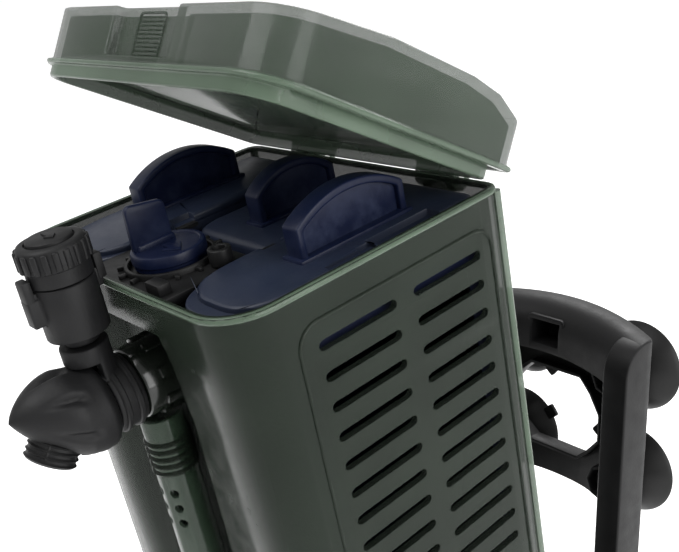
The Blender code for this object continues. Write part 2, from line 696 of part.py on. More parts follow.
def build_nozzle():
    y = RECESS_Y - GAP
    front = RECESS_Y - SOCKET_OUT
    socket = rod("nozzle_socket", (0, y, NOZZLE_Z), (0, front, NOZZLE_Z), SOCKET_RADIUS,
                 SOCKET_RADIUS * 0.94, 32)
    bore = rod("bore", (0, y - 0.003, NOZZLE_Z), (0, front - 0.01, NOZZLE_Z), SOCKET_BORE, sides=32)
    inlet = rod("inlet", (0, y + 0.01, NOZZLE_Z), (0, y - 0.01, NOZZLE_Z), 0.0045)
    paint(cut(socket, bore, inlet), BLACK)

    collar_front = COLLAR_Y - COLLAR_LENGTH
    elbow = rod("nozzle_elbow", (0, COLLAR_Y, NOZZLE_Z), (0, collar_front, NOZZLE_Z), COLLAR_RADIUS,
                sides=32)
    spigot = rod("spigot", (0, y - 0.004, NOZZLE_Z), (0, COLLAR_Y - 0.001, NOZZLE_Z), SOCKET_BORE - GAP,
                 sides=32)
    stem = rod("stem", (0, VALVE_Y, NOZZLE_Z), (0, VALVE_Y, STEM_TOP), STEM_RADIUS)
    stem = cut(stem, box("trim", (-0.02, VALVE_Y - 0.02, NOZZLE_Z - 0.02), (0.02, collar_front + 0.0001,
                                                                            NOZZLE_Z + HEAD_RADIUS + GAP)))
    elbow = join_solids(elbow, spigot, stem)
    air = rod("air", (0, VALVE_Y, NOZZLE_Z + 0.006), (0, VALVE_Y, STEM_TOP + 0.01), 0.0028, sides=16)
    paint(cut(elbow, air), BLACK)

    start = collar_front - GAP
    steps = 10
    profile = [(0.0, HEAD_LENGTH)]
    for i in range(1, steps):
        t = i / steps
        profile.append((HEAD_RADIUS * math.sin(t * math.pi / 2) ** 0.8,
                        HEAD_LENGTH * math.cos(t * math.pi / 2)))
    profile += [(HEAD_RADIUS, 0.004), (COLLAR_RADIUS, 0.0), (0.0, 0.0)]
    place = Matrix.Translation((0.0, start, NOZZLE_Z)) @ ALONG_Y
    head = turned("nozzle_head", profile, place, 32)
    throat = Vector((0.0, start - 0.011, NOZZLE_Z + 0.002))
    aim = Vector((0.0, -math.cos(MOUTH_TILT), -math.sin(MOUTH_TILT)))
    mouth = rod("mouth", throat, throat + aim * 0.04, MOUTH_RADIUS)
    inlet = rod("inlet", (0, start + 0.005, NOZZLE_Z), (0, start - 0.012, NOZZLE_Z), 0.0045)
    paint(cut(head, mouth, inlet), BLACK)

    reach = 0.0145
    insert = rod("nozzle_insert", throat + aim * 0.0035, throat + aim * reach, MOUTH_RADIUS - GAP)
    hole = rod("hole", throat - aim * 0.01, throat + aim * 0.05, MOUTH_RADIUS - GAP - INSERT_WALL)
    paint(cut(insert, hole), BLACK)


def build_air_valve():
    at = Matrix.Translation((0.0, VALVE_Y, 0.0))
    body = rod("air_valve", (0, VALVE_Y, VALVE_BOTTOM), (0, VALVE_Y, VALVE_TOP), VALVE_RADIUS, sides=32)
    neck = rod("neck", (0, VALVE_Y, STEM_TOP + GAP), (0, VALVE_Y, VALVE_BOTTOM + 0.001), VALVE_NECK)
    tab = box("tab", (-0.0025, VALVE_Y - VALVE_RADIUS - 0.003, VALVE_TOP - 0.010), (0.0025, VALVE_Y,
                                                                                    VALVE_TOP - 0.002))
    body = join_solids(body, neck, tab)
    air = rod("air", (0, VALVE_Y, STEM_TOP - 0.001), (0, VALVE_Y, VALVE_TOP + 0.01), 0.0022, sides=16)
    paint(cut(body, air), BLACK)
    low = VALVE_TOP + GAP
    dial = rod("air_dial", (0, VALVE_Y, low), (0, VALVE_Y, low + DIAL_HEIGHT), DIAL_RADIUS,
               sides=KNURLS * 2)
    dial = cut(dial, rod("dish", (0, VALVE_Y, low + DIAL_HEIGHT - 0.001), (0, VALVE_Y,
                                                                           low + DIAL_HEIGHT + 0.01), DIAL_RADIUS * 0.66))
    grooves = bmesh.new()
    for i in range(KNURLS):
        groove = box("groove", (DIAL_RADIUS - 0.0008, -0.0004, low + 0.001), (DIAL_RADIUS + 0.002, 0.0004,
                                                                              low + DIAL_HEIGHT - 0.001))
        groove.data.transform(at @ Matrix.Rotation(math.tau * i / KNURLS, 4, "Z"))
        grooves.from_mesh(groove.data)
        bpy.data.objects.remove(groove, do_unlink=True)
    paint(cut(dial, from_bmesh("grooves", grooves)), BLACK)


# ---------------------------------------------------------------- suction-cup bracket, modelled upright and hung tilted
BRACKET_Y = REAR_Y + BRACKET_OFF
PIVOT = Vector((0.0, BRACKET_Y + PIVOT_IN, BRACKET_BASE + PIVOT_UP))


def bowed_beam(name, low, high, thick, inset):
    """A cross beam that bows back between the rails."""
    half = BRACKET_WIDTH / 2 - inset
    steps = 14
    xs = [-half + 2 * half * i / steps for i in range(steps + 1)]
    back = BRACKET_Y + RAIL_DEPTH - thick

    def bow(x):
        return back + BEAM_BOW * (1.0 - (x / half) ** 2)

    outline = [(x, bow(x)) for x in xs] + [(x, bow(x) + thick) for x in reversed(xs)]
    return prism(name, outline, low, high)


def build_bracket():
    half = BRACKET_WIDTH / 2
    top = BRACKET_BASE + RAIL_HEIGHT
    rear = BRACKET_Y + RAIL_DEPTH
    frame = bowed_beam("bracket_frame", top - BEAM_HEIGHT, top, BEAM_THICK, 0.0)
    for sign in (-1, 1):
        low_x = min(sign * half, sign * (half - RAIL_WIDTH))
        rail = box("rail", (low_x, BRACKET_Y, BRACKET_BASE), (low_x + RAIL_WIDTH, rear, top - 0.004),
                   0.0012)
        frame = join_solids(frame, rail)
    for row in CUP_ROWS:
        z = BRACKET_BASE + row
        web = bowed_beam("web", z - 0.011, z + 0.011, WEB_THICK, 0.001)
        frame = join_solids(frame, web)
    neck_y = BRACKET_Y + RAIL_DEPTH + BEAM_BOW * (1.0 - (CUP_SPREAD / half) ** 2)
    cups = []
    for row_name, row in zip(("lower", "upper"), CUP_ROWS):
        z = BRACKET_BASE + row
        for side, sign in (("left", -1), ("right", 1)):
            x = sign * CUP_SPREAD
            hole = rod("hole", (x, neck_y - 0.02, z), (x, neck_y + 0.02, z), CUP_NECK + GAP)
            boss = rod("boss", (x, neck_y - 0.008, z), (x, neck_y + BOSS_PROUD, z), CUP_NECK + 0.004,
                       sides=8)
            frame = join_solids(frame, boss)
            frame = cut(frame, hole)
            cups.append(suction_cup("suction_cup_" + row_name + "_" + side, x, neck_y + BOSS_PROUD + GAP,
                                    z))
    latch = box("latch", (-0.009, BRACKET_Y, top - 0.019), (0.009, rear + BEAM_BOW + 0.01, top - 0.006))
    frame = cut(frame, latch)
    axis_reach = RAIL_WIDTH - 0.003
    for sign in (-1, 1):
        inner = sign * (half - RAIL_WIDTH)
        socket = rod("socket", (inner - sign * 0.001, PIVOT.y, PIVOT.z), (inner + sign * axis_reach,
                                                                          PIVOT.y, PIVOT.z), 0.0025 + GAP)
        frame = cut(frame, socket)
    paint(frame, BLACK)
    hang(PIVOT, -BRACKET_TILT, [frame] + cups, "bracket_axis")

    bar = half - RAIL_WIDTH - GAP
    foot = box("bracket_foot", (-bar, PIVOT.y - 0.0045, PIVOT.z - 0.0045), (bar, PIVOT.y + 0.0045,
                                                                            PIVOT.z + 0.0045), 0.0008)
    axle = rod("axle", (-bar - 0.007, PIVOT.y, PIVOT.z), (bar + 0.007, PIVOT.y, PIVOT.z), 0.0025, sides=16)
    foot = join_solids(foot, axle)
    for sign in (-1, 1):
        x = sign * 0.022
        tongue = box("tongue", (x - 0.006, BRACKET_Y + 0.0005, PIVOT.z - 0.003), (x + 0.006, PIVOT.y,
                                                                                  PIVOT.z + 0.003))
        foot = join_solids(foot, tongue)
    paint(foot, BLACK)


def suction_cup(name, x, y, z):
    """A rubber bell whose neck passes through the web and whose mouth faces the glass."""
    neck = CUP_NECK
    plug = 0.009
    mouth = CUP_DEPTH
    steps = 7
    outer = []
    inner = []
    for i in range(steps + 1):
        t = i / steps
        radius = neck + 0.003 + (CUP_RADIUS - neck - 0.003) * t
        height = mouth * (0.12 + 0.88 * t ** 1.6)
        outer.append((radius, height))
        inner.append((max(radius - CUP_WALL * 1.1, 0.0), height + CUP_WALL * (1.0 - t) * 1.2))
    outer[-1] = (CUP_RADIUS, mouth)
    profile = [(0.0, inner[0][1])] + inner + list(reversed(outer))
    profile += [(neck + 0.003, 0.0), (neck, 0.0), (neck, -plug), (0.0, -plug)]
    place = Matrix.Translation((x, y, z)) @ Matrix.Rotation(math.radians(-90.0), 4, "X")
    return paint(turned(name, profile, place, 32), RUBBER)


def build_feet():
    """Four rubber pads under the pump's base plate keep the housing off the gravel."""
    for i, (sx, sy) in enumerate(((-1, -1), (1, -1), (1, 1), (-1, 1)), start=1):
        x = sx * (HALF - 0.016)
        y = sy * 0.030
        pad = rod("floor_pad_%d" % i, (x, y, FLOOR + GAP), (x, y, FLOOR + 0.004), 0.006, sides=20)
        paint(pad, RUBBER)


def main():
    global PIECES
    clear_scene()
    PIECES = new_collection("canister_filter")
    build_housing()
    build_gland()
    build_knuckles()
    build_lid()
    build_side_cartridge("left", -1)
    build_side_cartridge("right", 1)
    build_basket()
    build_flow_control()
    build_pump()
    build_spray_tube()
    build_nozzle()
    build_air_valve()
    build_bracket()
    build_feet()


main()
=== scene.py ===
"""Underwater canister filter: clear smoked housing and lid, cartridges, swivel nozzle, cup bracket."""
import math

import bmesh
import bpy
from mathutils import Matrix, Vector, noise


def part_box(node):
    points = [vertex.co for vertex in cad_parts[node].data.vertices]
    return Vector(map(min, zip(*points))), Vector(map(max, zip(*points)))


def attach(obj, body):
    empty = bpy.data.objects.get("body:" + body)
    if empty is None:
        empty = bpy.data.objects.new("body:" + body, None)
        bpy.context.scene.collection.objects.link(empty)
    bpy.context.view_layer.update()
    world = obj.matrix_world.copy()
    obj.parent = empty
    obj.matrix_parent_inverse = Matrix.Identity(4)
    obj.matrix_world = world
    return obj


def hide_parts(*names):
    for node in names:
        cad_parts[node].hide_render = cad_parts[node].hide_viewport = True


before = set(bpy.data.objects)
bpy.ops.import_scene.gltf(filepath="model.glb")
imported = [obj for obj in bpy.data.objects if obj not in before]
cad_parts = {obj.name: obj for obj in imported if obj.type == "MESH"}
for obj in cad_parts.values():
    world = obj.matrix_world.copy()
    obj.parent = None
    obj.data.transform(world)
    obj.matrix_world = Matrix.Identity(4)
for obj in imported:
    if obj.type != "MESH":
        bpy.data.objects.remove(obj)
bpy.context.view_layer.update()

# ---------------------------------------------------------------- sizes shared by the pieces
RIM_Z = 0.300
HALF_WIDTH = 0.0615
HALF_DEPTH = 0.050
HINGE = Vector((0.0, 0.055, 0.297))
LID_TURN = math.radians(-33.0)
BRACKET_PIVOT = Vector((0.0, 0.094, 0.025))
BRACKET_TURN = math.radians(-11.6)
NOZZLE_Z = 0.266
KNOB_Y = -0.0273
CAP_TOP = 0.2983
BASKET_TOP = 0.2950
PLATE_TOP = 0.2960
VALVE_Y = -0.0604
RECESS_Y = -0.0375
CAP_BASE = 0.2873               # underside of the side caps
CAP_INNER = 0.0230              # side caps, nearest and farthest from the centre plane
CAP_OUTER = 0.0585
LEDGE = 0.0026                  # step round the side caps, where the lid's skirt comes down
SKIRT_TOP = 0.30235             # below this height, drawn upright, the lid takes the paler clear finish, a painted edge sheen
PULL_SIDE = 0.0095              # finger pull: height at its ends and at its crown
PULL_CROWN = 0.016
PULL_BAND = 0.0024
PULL_HALF = 0.00335
KNOB_RADIUS = 0.0113
KNOB_LIFT = 0.0004              # gap under the flow knob
RING_LAYERS = 25                # ceramic rings in the basket: layers, and rings across and along each
RING_ACROSS = 3
RING_ALONG = 4
RING_PITCH = 0.00855
FLUTE_COUNT = 7
HEAD_START = -0.0606
HEAD_LENGTH = 0.0265
HEAD_LIFT = 0.0068              # how far the tip of the nozzle's head stands above its root
MOUTH_TILT = math.radians(52.0)
DIAL_BASE = 0.3054
DIAL_TOP = 0.3166
KNURL_COUNT = 20
CUP_RADIUS = 0.020
CUP_DEPTH = 0.011
CUP_NECK = 0.0045
CUP_SIDE = 0.030
CUP_Y = 0.11576
CUP_ROWS = (("lower", 0.134), ("upper", 0.183))
BRACKET_HALF = 0.050
BRACKET_FRONT = 0.086
BRACKET_TOP = 0.2100
BRACKET_BOW = 0.014
BRACKET_SAG = 0.004             # how much lower the top beam is at its ends

CAMERA_AT = (0.23585, -0.14461, 0.39406)
CAMERA_BEARING = math.radians(53.1902)
CAMERA_ELEVATION = math.radians(23.6790)
CAMERA_ROLL = math.radians(-11.5337)
CAMERA_LENS = 49.86
CAMERA_SENSOR = 36.0


def turned_about(pivot, angle):
    """The place of a piece drawn upright and then tipped about X on its own axis."""
    there = Matrix.Translation(pivot)
    return there @ Matrix.Rotation(angle, 4, "X") @ there.inverted()


ON_LID = turned_about(HINGE, LID_TURN)
ON_BRACKET = turned_about(BRACKET_PIVOT, BRACKET_TURN)
ALONG_Y = Matrix.Rotation(math.radians(90.0), 4, "X")


# ---------------------------------------------------------------- shader groups
def new_group(name, inputs, outputs):
    """A shader node group with named sockets, given as (name, kind, start value)."""
    tree = bpy.data.node_groups.new(name, "ShaderNodeTree")
    for label, kind, start in inputs:
        socket = tree.interface.new_socket(name=label, in_out="INPUT", socket_type=kind)
        socket.default_value = start
    for label, kind in outputs:
        tree.interface.new_socket(name=label, in_out="OUTPUT", socket_type=kind)
    entry = tree.nodes.new("NodeGroupInput")
    leave = tree.nodes.new("NodeGroupOutput")
    return tree, entry, leave


def add_noise(tree, where, scale, detail=3.0, rough=0.5):
    node = tree.nodes.new("ShaderNodeTexNoise")
    node.inputs["Detail"].default_value = detail
    node.inputs["Roughness"].default_value = rough
    tree.links.new(where, node.inputs["Vector"])
    if isinstance(scale, (int, float)):
        node.inputs["Scale"].default_value = scale
    else:
        tree.links.new(scale, node.inputs["Scale"])
    return node


def add_range(tree, value, low, high, to_low, to_high):
    node = tree.nodes.new("ShaderNodeMapRange")
    tree.links.new(value, node.inputs["Value"])
    for label, amount in (("From Min", low), ("From Max", high), ("To Min", to_low), ("To Max", to_high)):
        if isinstance(amount, (int, float)):
            node.inputs[label].default_value = amount
        else:
            tree.links.new(amount, node.inputs[label])
    return node.outputs["Result"]


def add_mix(tree, factor, first, second):
    node = tree.nodes.new("ShaderNodeMix")
    node.data_type = "RGBA"
    tree.links.new(factor, node.inputs["Factor"])
    tree.links.new(first, node.inputs["A"])
    tree.links.new(second, node.inputs["B"])
    return node.outputs["Result"]


def moulded_group():
    """Moulded plastic: a slow drift of tone, fine mould grain and faint handling rubs on the edges."""
    tree, entry, leave = new_group(
        "moulded_surface",
        [("Colour", "NodeSocketColor", (0.1, 0.1, 0.1, 1.0)),
         ("Rub Colour", "NodeSocketColor", (0.3, 0.3, 0.3, 1.0)), ("Rub", "NodeSocketFloat", 0.3),
         ("Grain Scale", "NodeSocketFloat", 900.0), ("Smooth", "NodeSocketFloat", 0.3),
         ("Rough", "NodeSocketFloat", 0.5)],
        [("Colour", "NodeSocketColor"), ("Roughness", "NodeSocketFloat"), ("Height", "NodeSocketFloat")])
    where = tree.nodes.new("ShaderNodeTexCoord").outputs["Object"]
    drift = add_noise(tree, where, 38.0, 3.0)
    grain = add_noise(tree, where, entry.outputs["Grain Scale"], 2.0)
    smear = add_noise(tree, where, 140.0, 5.0, 0.65)
    point = tree.nodes.new("ShaderNodeNewGeometry").outputs["Pointiness"]
    edge = add_range(tree, point, 0.52, 0.62, 0.0, 1.0)
    patch = add_range(tree, smear.outputs["Fac"], 0.42, 0.68, 0.0, 1.0)
    worn = tree.nodes.new("ShaderNodeMath")
    worn.operation = "MULTIPLY"
    tree.links.new(edge, worn.inputs[0])
    tree.links.new(patch, worn.inputs[1])
    much = tree.nodes.new("ShaderNodeMath")
    much.operation = "MULTIPLY"
    tree.links.new(worn.outputs[0], much.inputs[0])
    tree.links.new(entry.outputs["Rub"], much.inputs[1])
    tone = tree.nodes.new("ShaderNodeHueSaturation")
    tree.links.new(entry.outputs["Colour"], tone.inputs["Color"])
    tree.links.new(add_range(tree, drift.outputs["Fac"], 0.3, 0.7, 0.86, 1.14), tone.inputs["Value"])
    tree.links.new(add_mix(tree, much.outputs[0], tone.outputs["Color"], entry.outputs["Rub Colour"]),
                   leave.inputs["Colour"])
    rough = add_range(tree, smear.outputs["Fac"], 0.3, 0.7, entry.outputs["Smooth"],
                      entry.outputs["Rough"])
    tree.links.new(rough, leave.inputs["Roughness"])
    tree.links.new(grain.outputs["Fac"], leave.inputs["Height"])
    return tree


def pore_group():
    """Open-cell foam or fired ceramic: rounded pores with a bump, their bottoms darkened with painted
    shade.
    """
    tree, entry, leave = new_group(
        "open_pores",
        [("Wall", "NodeSocketColor", (0.1, 0.1, 0.1, 1.0)),
         ("Pore", "NodeSocketColor", (0.01, 0.01, 0.01, 1.0)), ("Pore Scale", "NodeSocketFloat", 500.0)],
        [("Colour", "NodeSocketColor"), ("Height", "NodeSocketFloat")])
    where = tree.nodes.new("ShaderNodeTexCoord").outputs["Object"]
    cells = tree.nodes.new("ShaderNodeTexVoronoi")
    tree.links.new(where, cells.inputs["Vector"])
    tree.links.new(entry.outputs["Pore Scale"], cells.inputs["Scale"])
    depth = add_range(tree, cells.outputs["Distance"], 0.15, 0.55, 0.0, 1.0)
    tree.links.new(add_mix(tree, depth, entry.outputs["Pore"], entry.outputs["Wall"]),
                   leave.inputs["Colour"])
    tree.links.new(depth, leave.inputs["Height"])
    return tree


MOULDED = moulded_group()
PORES = pore_group()


def new_material(name):
    item = bpy.data.materials.new(name)
    item.use_nodes = True
    return item, item.node_tree, item.node_tree.nodes["Principled BSDF"]


def add_bump(tree, shader, height, strength, distance):
    bump = tree.nodes.new("ShaderNodeBump")
    bump.inputs["Strength"].default_value = strength
    bump.inputs["Distance"].default_value = distance
    tree.links.new(height, bump.inputs["Height"])
    tree.links.new(bump.outputs["Normal"], shader.inputs["Normal"])


def moulded(name, colour, rub, smooth, rough, grain=900.0, bump=0.15, rubbed=0.35, alpha=1.0, metal=0.0,
            gloss=0.4):
    """A moulded plastic, rubber or metal finish."""
    item, tree, shader = new_material(name)
    group = tree.nodes.new("ShaderNodeGroup")
    group.node_tree = MOULDED
    group.inputs["Colour"].default_value = (*colour, 1.0)
    group.inputs["Rub Colour"].default_value = (*rub, 1.0)
    group.inputs["Rub"].default_value = rubbed
    group.inputs["Grain Scale"].default_value = grain
    group.inputs["Smooth"].default_value = smooth
    group.inputs["Rough"].default_value = rough
    tree.links.new(group.outputs["Colour"], shader.inputs["Base Color"])
    tree.links.new(group.outputs["Roughness"], shader.inputs["Roughness"])
    add_bump(tree, shader, group.outputs["Height"], bump, 0.0002)
    shader.inputs["Alpha"].default_value = alpha
    shader.inputs["Metallic"].default_value = metal
    shader.inputs["Specular IOR Level"].default_value = gloss
    item.diffuse_color = (*colour, alpha)
    return item


def porous(name, wall, pore_shade, scale, bump):
    item, tree, shader = new_material(name)
    group = tree.nodes.new("ShaderNodeGroup")
    group.node_tree = PORES
    group.inputs["Wall"].default_value = (*wall, 1.0)
    group.inputs["Pore"].default_value = (*pore_shade, 1.0)
    group.inputs["Pore Scale"].default_value = scale
    tree.links.new(group.outputs["Colour"], shader.inputs["Base Color"])
    add_bump(tree, shader, group.outputs["Height"], bump, 0.0006)
    shader.inputs["Roughness"].default_value = 0.9
    return item


SMOKED = moulded("smoked_clear", (0.016, 0.022, 0.016), (0.09, 0.12, 0.09), 0.16, 0.28, 500.0, 0.0, 0.0,
                 0.78, gloss=0.12)
SMOKED_LID = moulded("smoked_lid", (0.036, 0.052, 0.036), (0.15, 0.20, 0.15), 0.10, 0.20, 500.0, 0.01,
                     0.0, 0.62, gloss=0.25)
# Paler clear finish for the rim bead, corner posts, hinge knuckles and the lid's skirt: a painted edge
# sheen, lighter colour standing in for the glancing reflection on clear plastic.
PAINTED_SHEEN_CLEAR = moulded("clear_thick_edge", (0.085, 0.120, 0.085), (0.28, 0.36, 0.28), 0.10, 0.2, 500.0, 0.01,
                    0.0, 0.80, gloss=0.3)
DARK_CLEAR = moulded("smoked_tube", (0.030, 0.050, 0.032), (0.09, 0.12, 0.09), 0.12, 0.24, 500.0, 0.01,
                     0.0, 0.80)
NAVY = moulded("navy_plastic", (0.0035, 0.0065, 0.024), (0.03, 0.04, 0.08), 0.32, 0.46, 1100.0, 0.12, 0.4,
               gloss=0.22)
NAVY_CAP = moulded("navy_cap", (0.012, 0.017, 0.034), (0.05, 0.06, 0.09), 0.34, 0.48, 1100.0, 0.12, 0.4)
BLACK = moulded("black_plastic", (0.006, 0.006, 0.0063), (0.03, 0.03, 0.03), 0.38, 0.55, 1000.0, 0.15,
                0.4, gloss=0.2)
CHARCOAL = moulded("charcoal_plastic", (0.008, 0.008, 0.0085), (0.035, 0.035, 0.035), 0.44, 0.60, 1200.0,
                   0.2, 0.4, gloss=0.2)
RUBBER = moulded("black_rubber", (0.006, 0.006, 0.006), (0.02, 0.02, 0.02), 0.30, 0.48, 700.0, 0.08, 0.2,
                 gloss=0.22)
GLOSS_BLACK = moulded("glossy_black", (0.006, 0.008, 0.006), (0.02, 0.02, 0.02), 0.10, 0.18, 600.0, 0.03,
                      0.1, gloss=0.5)
STEEL = moulded("brushed_steel", (0.55, 0.55, 0.54), (0.7, 0.7, 0.7), 0.22, 0.38, 1400.0, 0.1, 0.3, 1.0,
                1.0)
# The second colour darkens the pore bottoms: painted shade in the hollows.
FOAM = porous("filter_foam", (0.030, 0.036, 0.034), (0.003, 0.004, 0.004), 620.0, 0.9)
CERAMIC = porous("fired_ceramic", (0.62, 0.57, 0.48), (0.35, 0.30, 0.24), 1500.0, 0.4)


# ---------------------------------------------------------------- mesh helpers
def from_bmesh(name, work):
    bmesh.ops.remove_doubles(work, verts=work.verts, dist=0.000002)
    bmesh.ops.recalc_face_normals(work, faces=work.faces)
    mesh = bpy.data.meshes.new(name)
    work.to_mesh(mesh)
    work.free()
    item = bpy.data.objects.new(name, mesh)
    bpy.context.scene.collection.objects.link(item)
    return item


def bake(item):
    """Turn an object and its modifiers into a plain mesh."""
    graph = bpy.context.evaluated_depsgraph_get()
    mesh = bpy.data.meshes.new_from_object(item.evaluated_get(graph))
    item.modifiers.clear()
    if item.type != "MESH":
        fresh = bpy.data.objects.new(item.name, mesh)
        bpy.context.scene.collection.objects.link(fresh)
        bpy.data.objects.remove(item, do_unlink=True)
        return fresh
    item.data = mesh
    return item


def soften(item, width, segments=2, angle=32.0):
    """Round the edges sharper than the angle, then shade smooth up to 38 degrees."""
    if width > 0.0:
        bevel = item.modifiers.new("round", "BEVEL")
        bevel.width = width
        bevel.segments = segments
        bevel.limit_method = "ANGLE"
        bevel.angle_limit = math.radians(angle)
        bevel.use_clamp_overlap = False
        bevel.miter_outer = "MITER_ARC"
        item = bake(item)
    return shade(item, 38.0)


def shade(item, angle):
    item.data.polygons.foreach_set("use_smooth", [True] * len(item.data.polygons))
    item.data.set_sharp_from_angle(angle=math.radians(angle))
    return item


def dress(item, finish):
    item.data.materials.clear()
    item.data.materials.append(finish)
    return item


def place(item, matrix):
    item.data.transform(matrix)
    return item


def fuse(name, items):
    """Join several meshes into one object, each face keeping its finish."""
    work = bmesh.new()
    finishes = []
    mesh = bpy.data.meshes.new(name)
    for item in items:
        start = len(work.faces)
        work.from_mesh(item.data)
        work.faces.ensure_lookup_table()
        slots = [m for m in item.data.materials]
        for face in work.faces[start:]:
            own = slots[face.material_index] if slots else None
            if own not in finishes:
                finishes.append(own)
            face.material_index = finishes.index(own)
        bpy.data.objects.remove(item, do_unlink=True)
    work.to_mesh(mesh)
    work.free()
    for finish in finishes:
        mesh.materials.append(finish)
    item = bpy.data.objects.new(name, mesh)
    bpy.context.scene.collection.objects.link(item)
    return item


def cut(item, *tools):
    for tool in tools:
        step = item.modifiers.new("cut", "BOOLEAN")
        step.operation = "DIFFERENCE"
        step.solver = "EXACT"
        step.object = tool
    item = bake(item)
    for tool in tools:
        bpy.data.objects.remove(tool, do_unlink=True)
    return item


def arc(centre, radius, start, end, steps):
    turns = [math.radians(start + (end - start) * i / steps) for i in range(steps + 1)]
    return [(centre[0] + radius * math.cos(t), centre[1] + radius * math.sin(t)) for t in turns]


def rounded(x0, x1, y0, y1, front, rear, steps=8):
    points = arc((x0 + front, y0 + front), front, 180, 270, steps)
    points += arc((x1 - front, y0 + front), front, 270, 360, steps)
    points += arc((x1 - rear, y1 - rear), rear, 0, 90, steps)
    points += arc((x0 + rear, y1 - rear), rear, 90, 180, steps)
    return points


def loft(name, rings, closed=False):
    """Skin between rings of the same count; capped at both ends, or closed round into a loop."""
    work = bmesh.new()
    rows = [[work.verts.new(p) for p in ring] for ring in rings]
    count = len(rows[0])
    pairs = list(zip(rows, rows[1:]))
    if closed:
        pairs.append((rows[-1], rows[0]))
    for lower, upper in pairs:
        for i in range(count):
            j = (i + 1) % count
            work.faces.new((lower[i], lower[j], upper[j], upper[i]))
    if not closed:
        work.faces.new(list(reversed(rows[0])))
        work.faces.new(rows[-1])
    return from_bmesh(name, work)


def slab(name, sides, corners, low, high, edge, foot=0.0003, steps=4):
    """A rounded block whose top edge is a quarter round."""
    x0, x1, y0, y1 = sides
    front, rear = corners

    def ring(gap, z):
        return [(x, y, z) for x, y in rounded(x0 + gap, x1 - gap, y0 + gap, y1 - gap,
                                              max(front - gap, 0.0004), max(rear - gap, 0.0004))]

    rings = [ring(foot, low), ring(0.0, low + foot)]
    for i in range(steps + 1):
        t = math.pi / 2 * i / steps
        rings.append(ring(edge * (1 - math.cos(t)), high - edge + edge * math.sin(t)))
    return loft(name, rings)


def outline_x(name, outline, low, high, edge=0.0, steps=2):
    """Extrude a (y, z) outline along x."""
    work = bmesh.new()
    rows = [[work.verts.new((x, y, z)) for y, z in outline] for x in (low, high)]
    count = len(outline)
    for i in range(count):
        j = (i + 1) % count
        work.faces.new((rows[0][i], rows[0][j], rows[1][j], rows[1][i]))
    work.faces.new(list(reversed(rows[0])))
    work.faces.new(rows[1])
    item = from_bmesh(name, work)
    return soften(item, edge, steps) if edge else item


def block(name, low, high, edge=0.0, steps=2):
    work = bmesh.new()
    bmesh.ops.create_cube(work, size=1.0)
    size = Vector(high) - Vector(low)
    middle = (Vector(high) + Vector(low)) / 2
    for vert in work.verts:
        vert.co = Vector(c * s for c, s in zip(vert.co, size)) + middle
    item = from_bmesh(name, work)
    return soften(item, edge, steps) if edge else item


def turned(name, profile, matrix, sides=64):
    """Turn (radius, height) points about Z; the ends on the axis are closed."""
    work = bmesh.new()
    rows = []
    for radius, height in profile:
        if radius < 1e-6:
            rows.append([work.verts.new((0.0, 0.0, height))])
        else:
            rows.append([work.verts.new((radius * math.cos(math.tau * i / sides),
                                         radius * math.sin(math.tau * i / sides),
                                         height)) for i in range(sides)])
    for lower, upper in zip(rows, rows[1:]):
        for i in range(sides):
            j = (i + 1) % sides
            if len(lower) == 1:
                work.faces.new((lower[0], upper[j], upper[i]))
            elif len(upper) == 1:
                work.faces.new((lower[i], lower[j], upper[0]))
            else:
                work.faces.new((lower[i], lower[j], upper[j], upper[i]))
    item = from_bmesh(name, work)
    item.data.transform(matrix)
    return item


def sweep(name, path, section):
    """Carry a flat section of (out, up) points round a level loop; out is away from the loop's middle."""
    count = len(path)
    rings = []
    for i in range(count):
        before = Vector(path[i - 1])
        after = Vector(path[(i + 1) % count])
        along = (after - before).normalized()
        out = along.cross(Vector((0, 0, 1))).normalized()
        up = out.cross(along)
        rings.append([Vector(path[i]) + out * a + up * b for a, b in section])
    return loft(name, rings, True)


def circle(radius, sides=10):
    return [(radius * math.cos(math.tau * i / sides), radius * math.sin(math.tau * i / sides))
            for i in range(sides)]


def cad_copy(name, width, segments=2, angle=32.0):
    """A CAD piece's own shape with its flat faces merged and its edges rounded."""
    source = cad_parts[name]
    work = bmesh.new()
    work.from_mesh(source.data)
    bmesh.ops.remove_doubles(work, verts=work.verts, dist=0.00001)
    bmesh.ops.dissolve_limit(work, angle_limit=math.radians(1.5), verts=work.verts, edges=work.edges)
    mesh = bpy.data.meshes.new(name + "_moulded")
    work.to_mesh(mesh)
    work.free()
    item = bpy.data.objects.new(name + "_moulded", mesh)
    bpy.context.scene.collection.objects.link(item)
    return soften(item, width, segments, angle)


def show(item, finish, body, slot, *nodes):
    """Give a finished piece its finish and its body, and hide the CAD nodes it stands for."""
    if finish is not None:
        dress(item, finish)
    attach(item, body)
    if nodes:
        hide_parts(*nodes)
    return item


# ---------------------------------------------------------------- repeated things, as node trees
def copies_tree(name, inputs, build):
    tree = bpy.data.node_groups.new(name, "GeometryNodeTree")
    tree.interface.new_socket(name="Geometry", in_out="INPUT", socket_type="NodeSocketGeometry")
    for label, kind in inputs:
        tree.interface.new_socket(name=label, in_out="INPUT", socket_type=kind)
    tree.interface.new_socket(name="Finish", in_out="INPUT", socket_type="NodeSocketMaterial")
    tree.interface.new_socket(name="Geometry", in_out="OUTPUT", socket_type="NodeSocketGeometry")
    entry = tree.nodes.new("NodeGroupInput")
    leave = tree.nodes.new("NodeGroupOutput")
    result = build(tree, entry)
    real = tree.nodes.new("GeometryNodeRealizeInstances")
    finish = tree.nodes.new("GeometryNodeSetMaterial")
    tree.links.new(result, real.inputs["Geometry"])
    tree.links.new(real.outputs["Geometry"], finish.inputs["Geometry"])
    tree.links.new(entry.outputs["Finish"], finish.inputs["Material"])
    tree.links.new(finish.outputs["Geometry"], leave.inputs["Geometry"])
    return tree


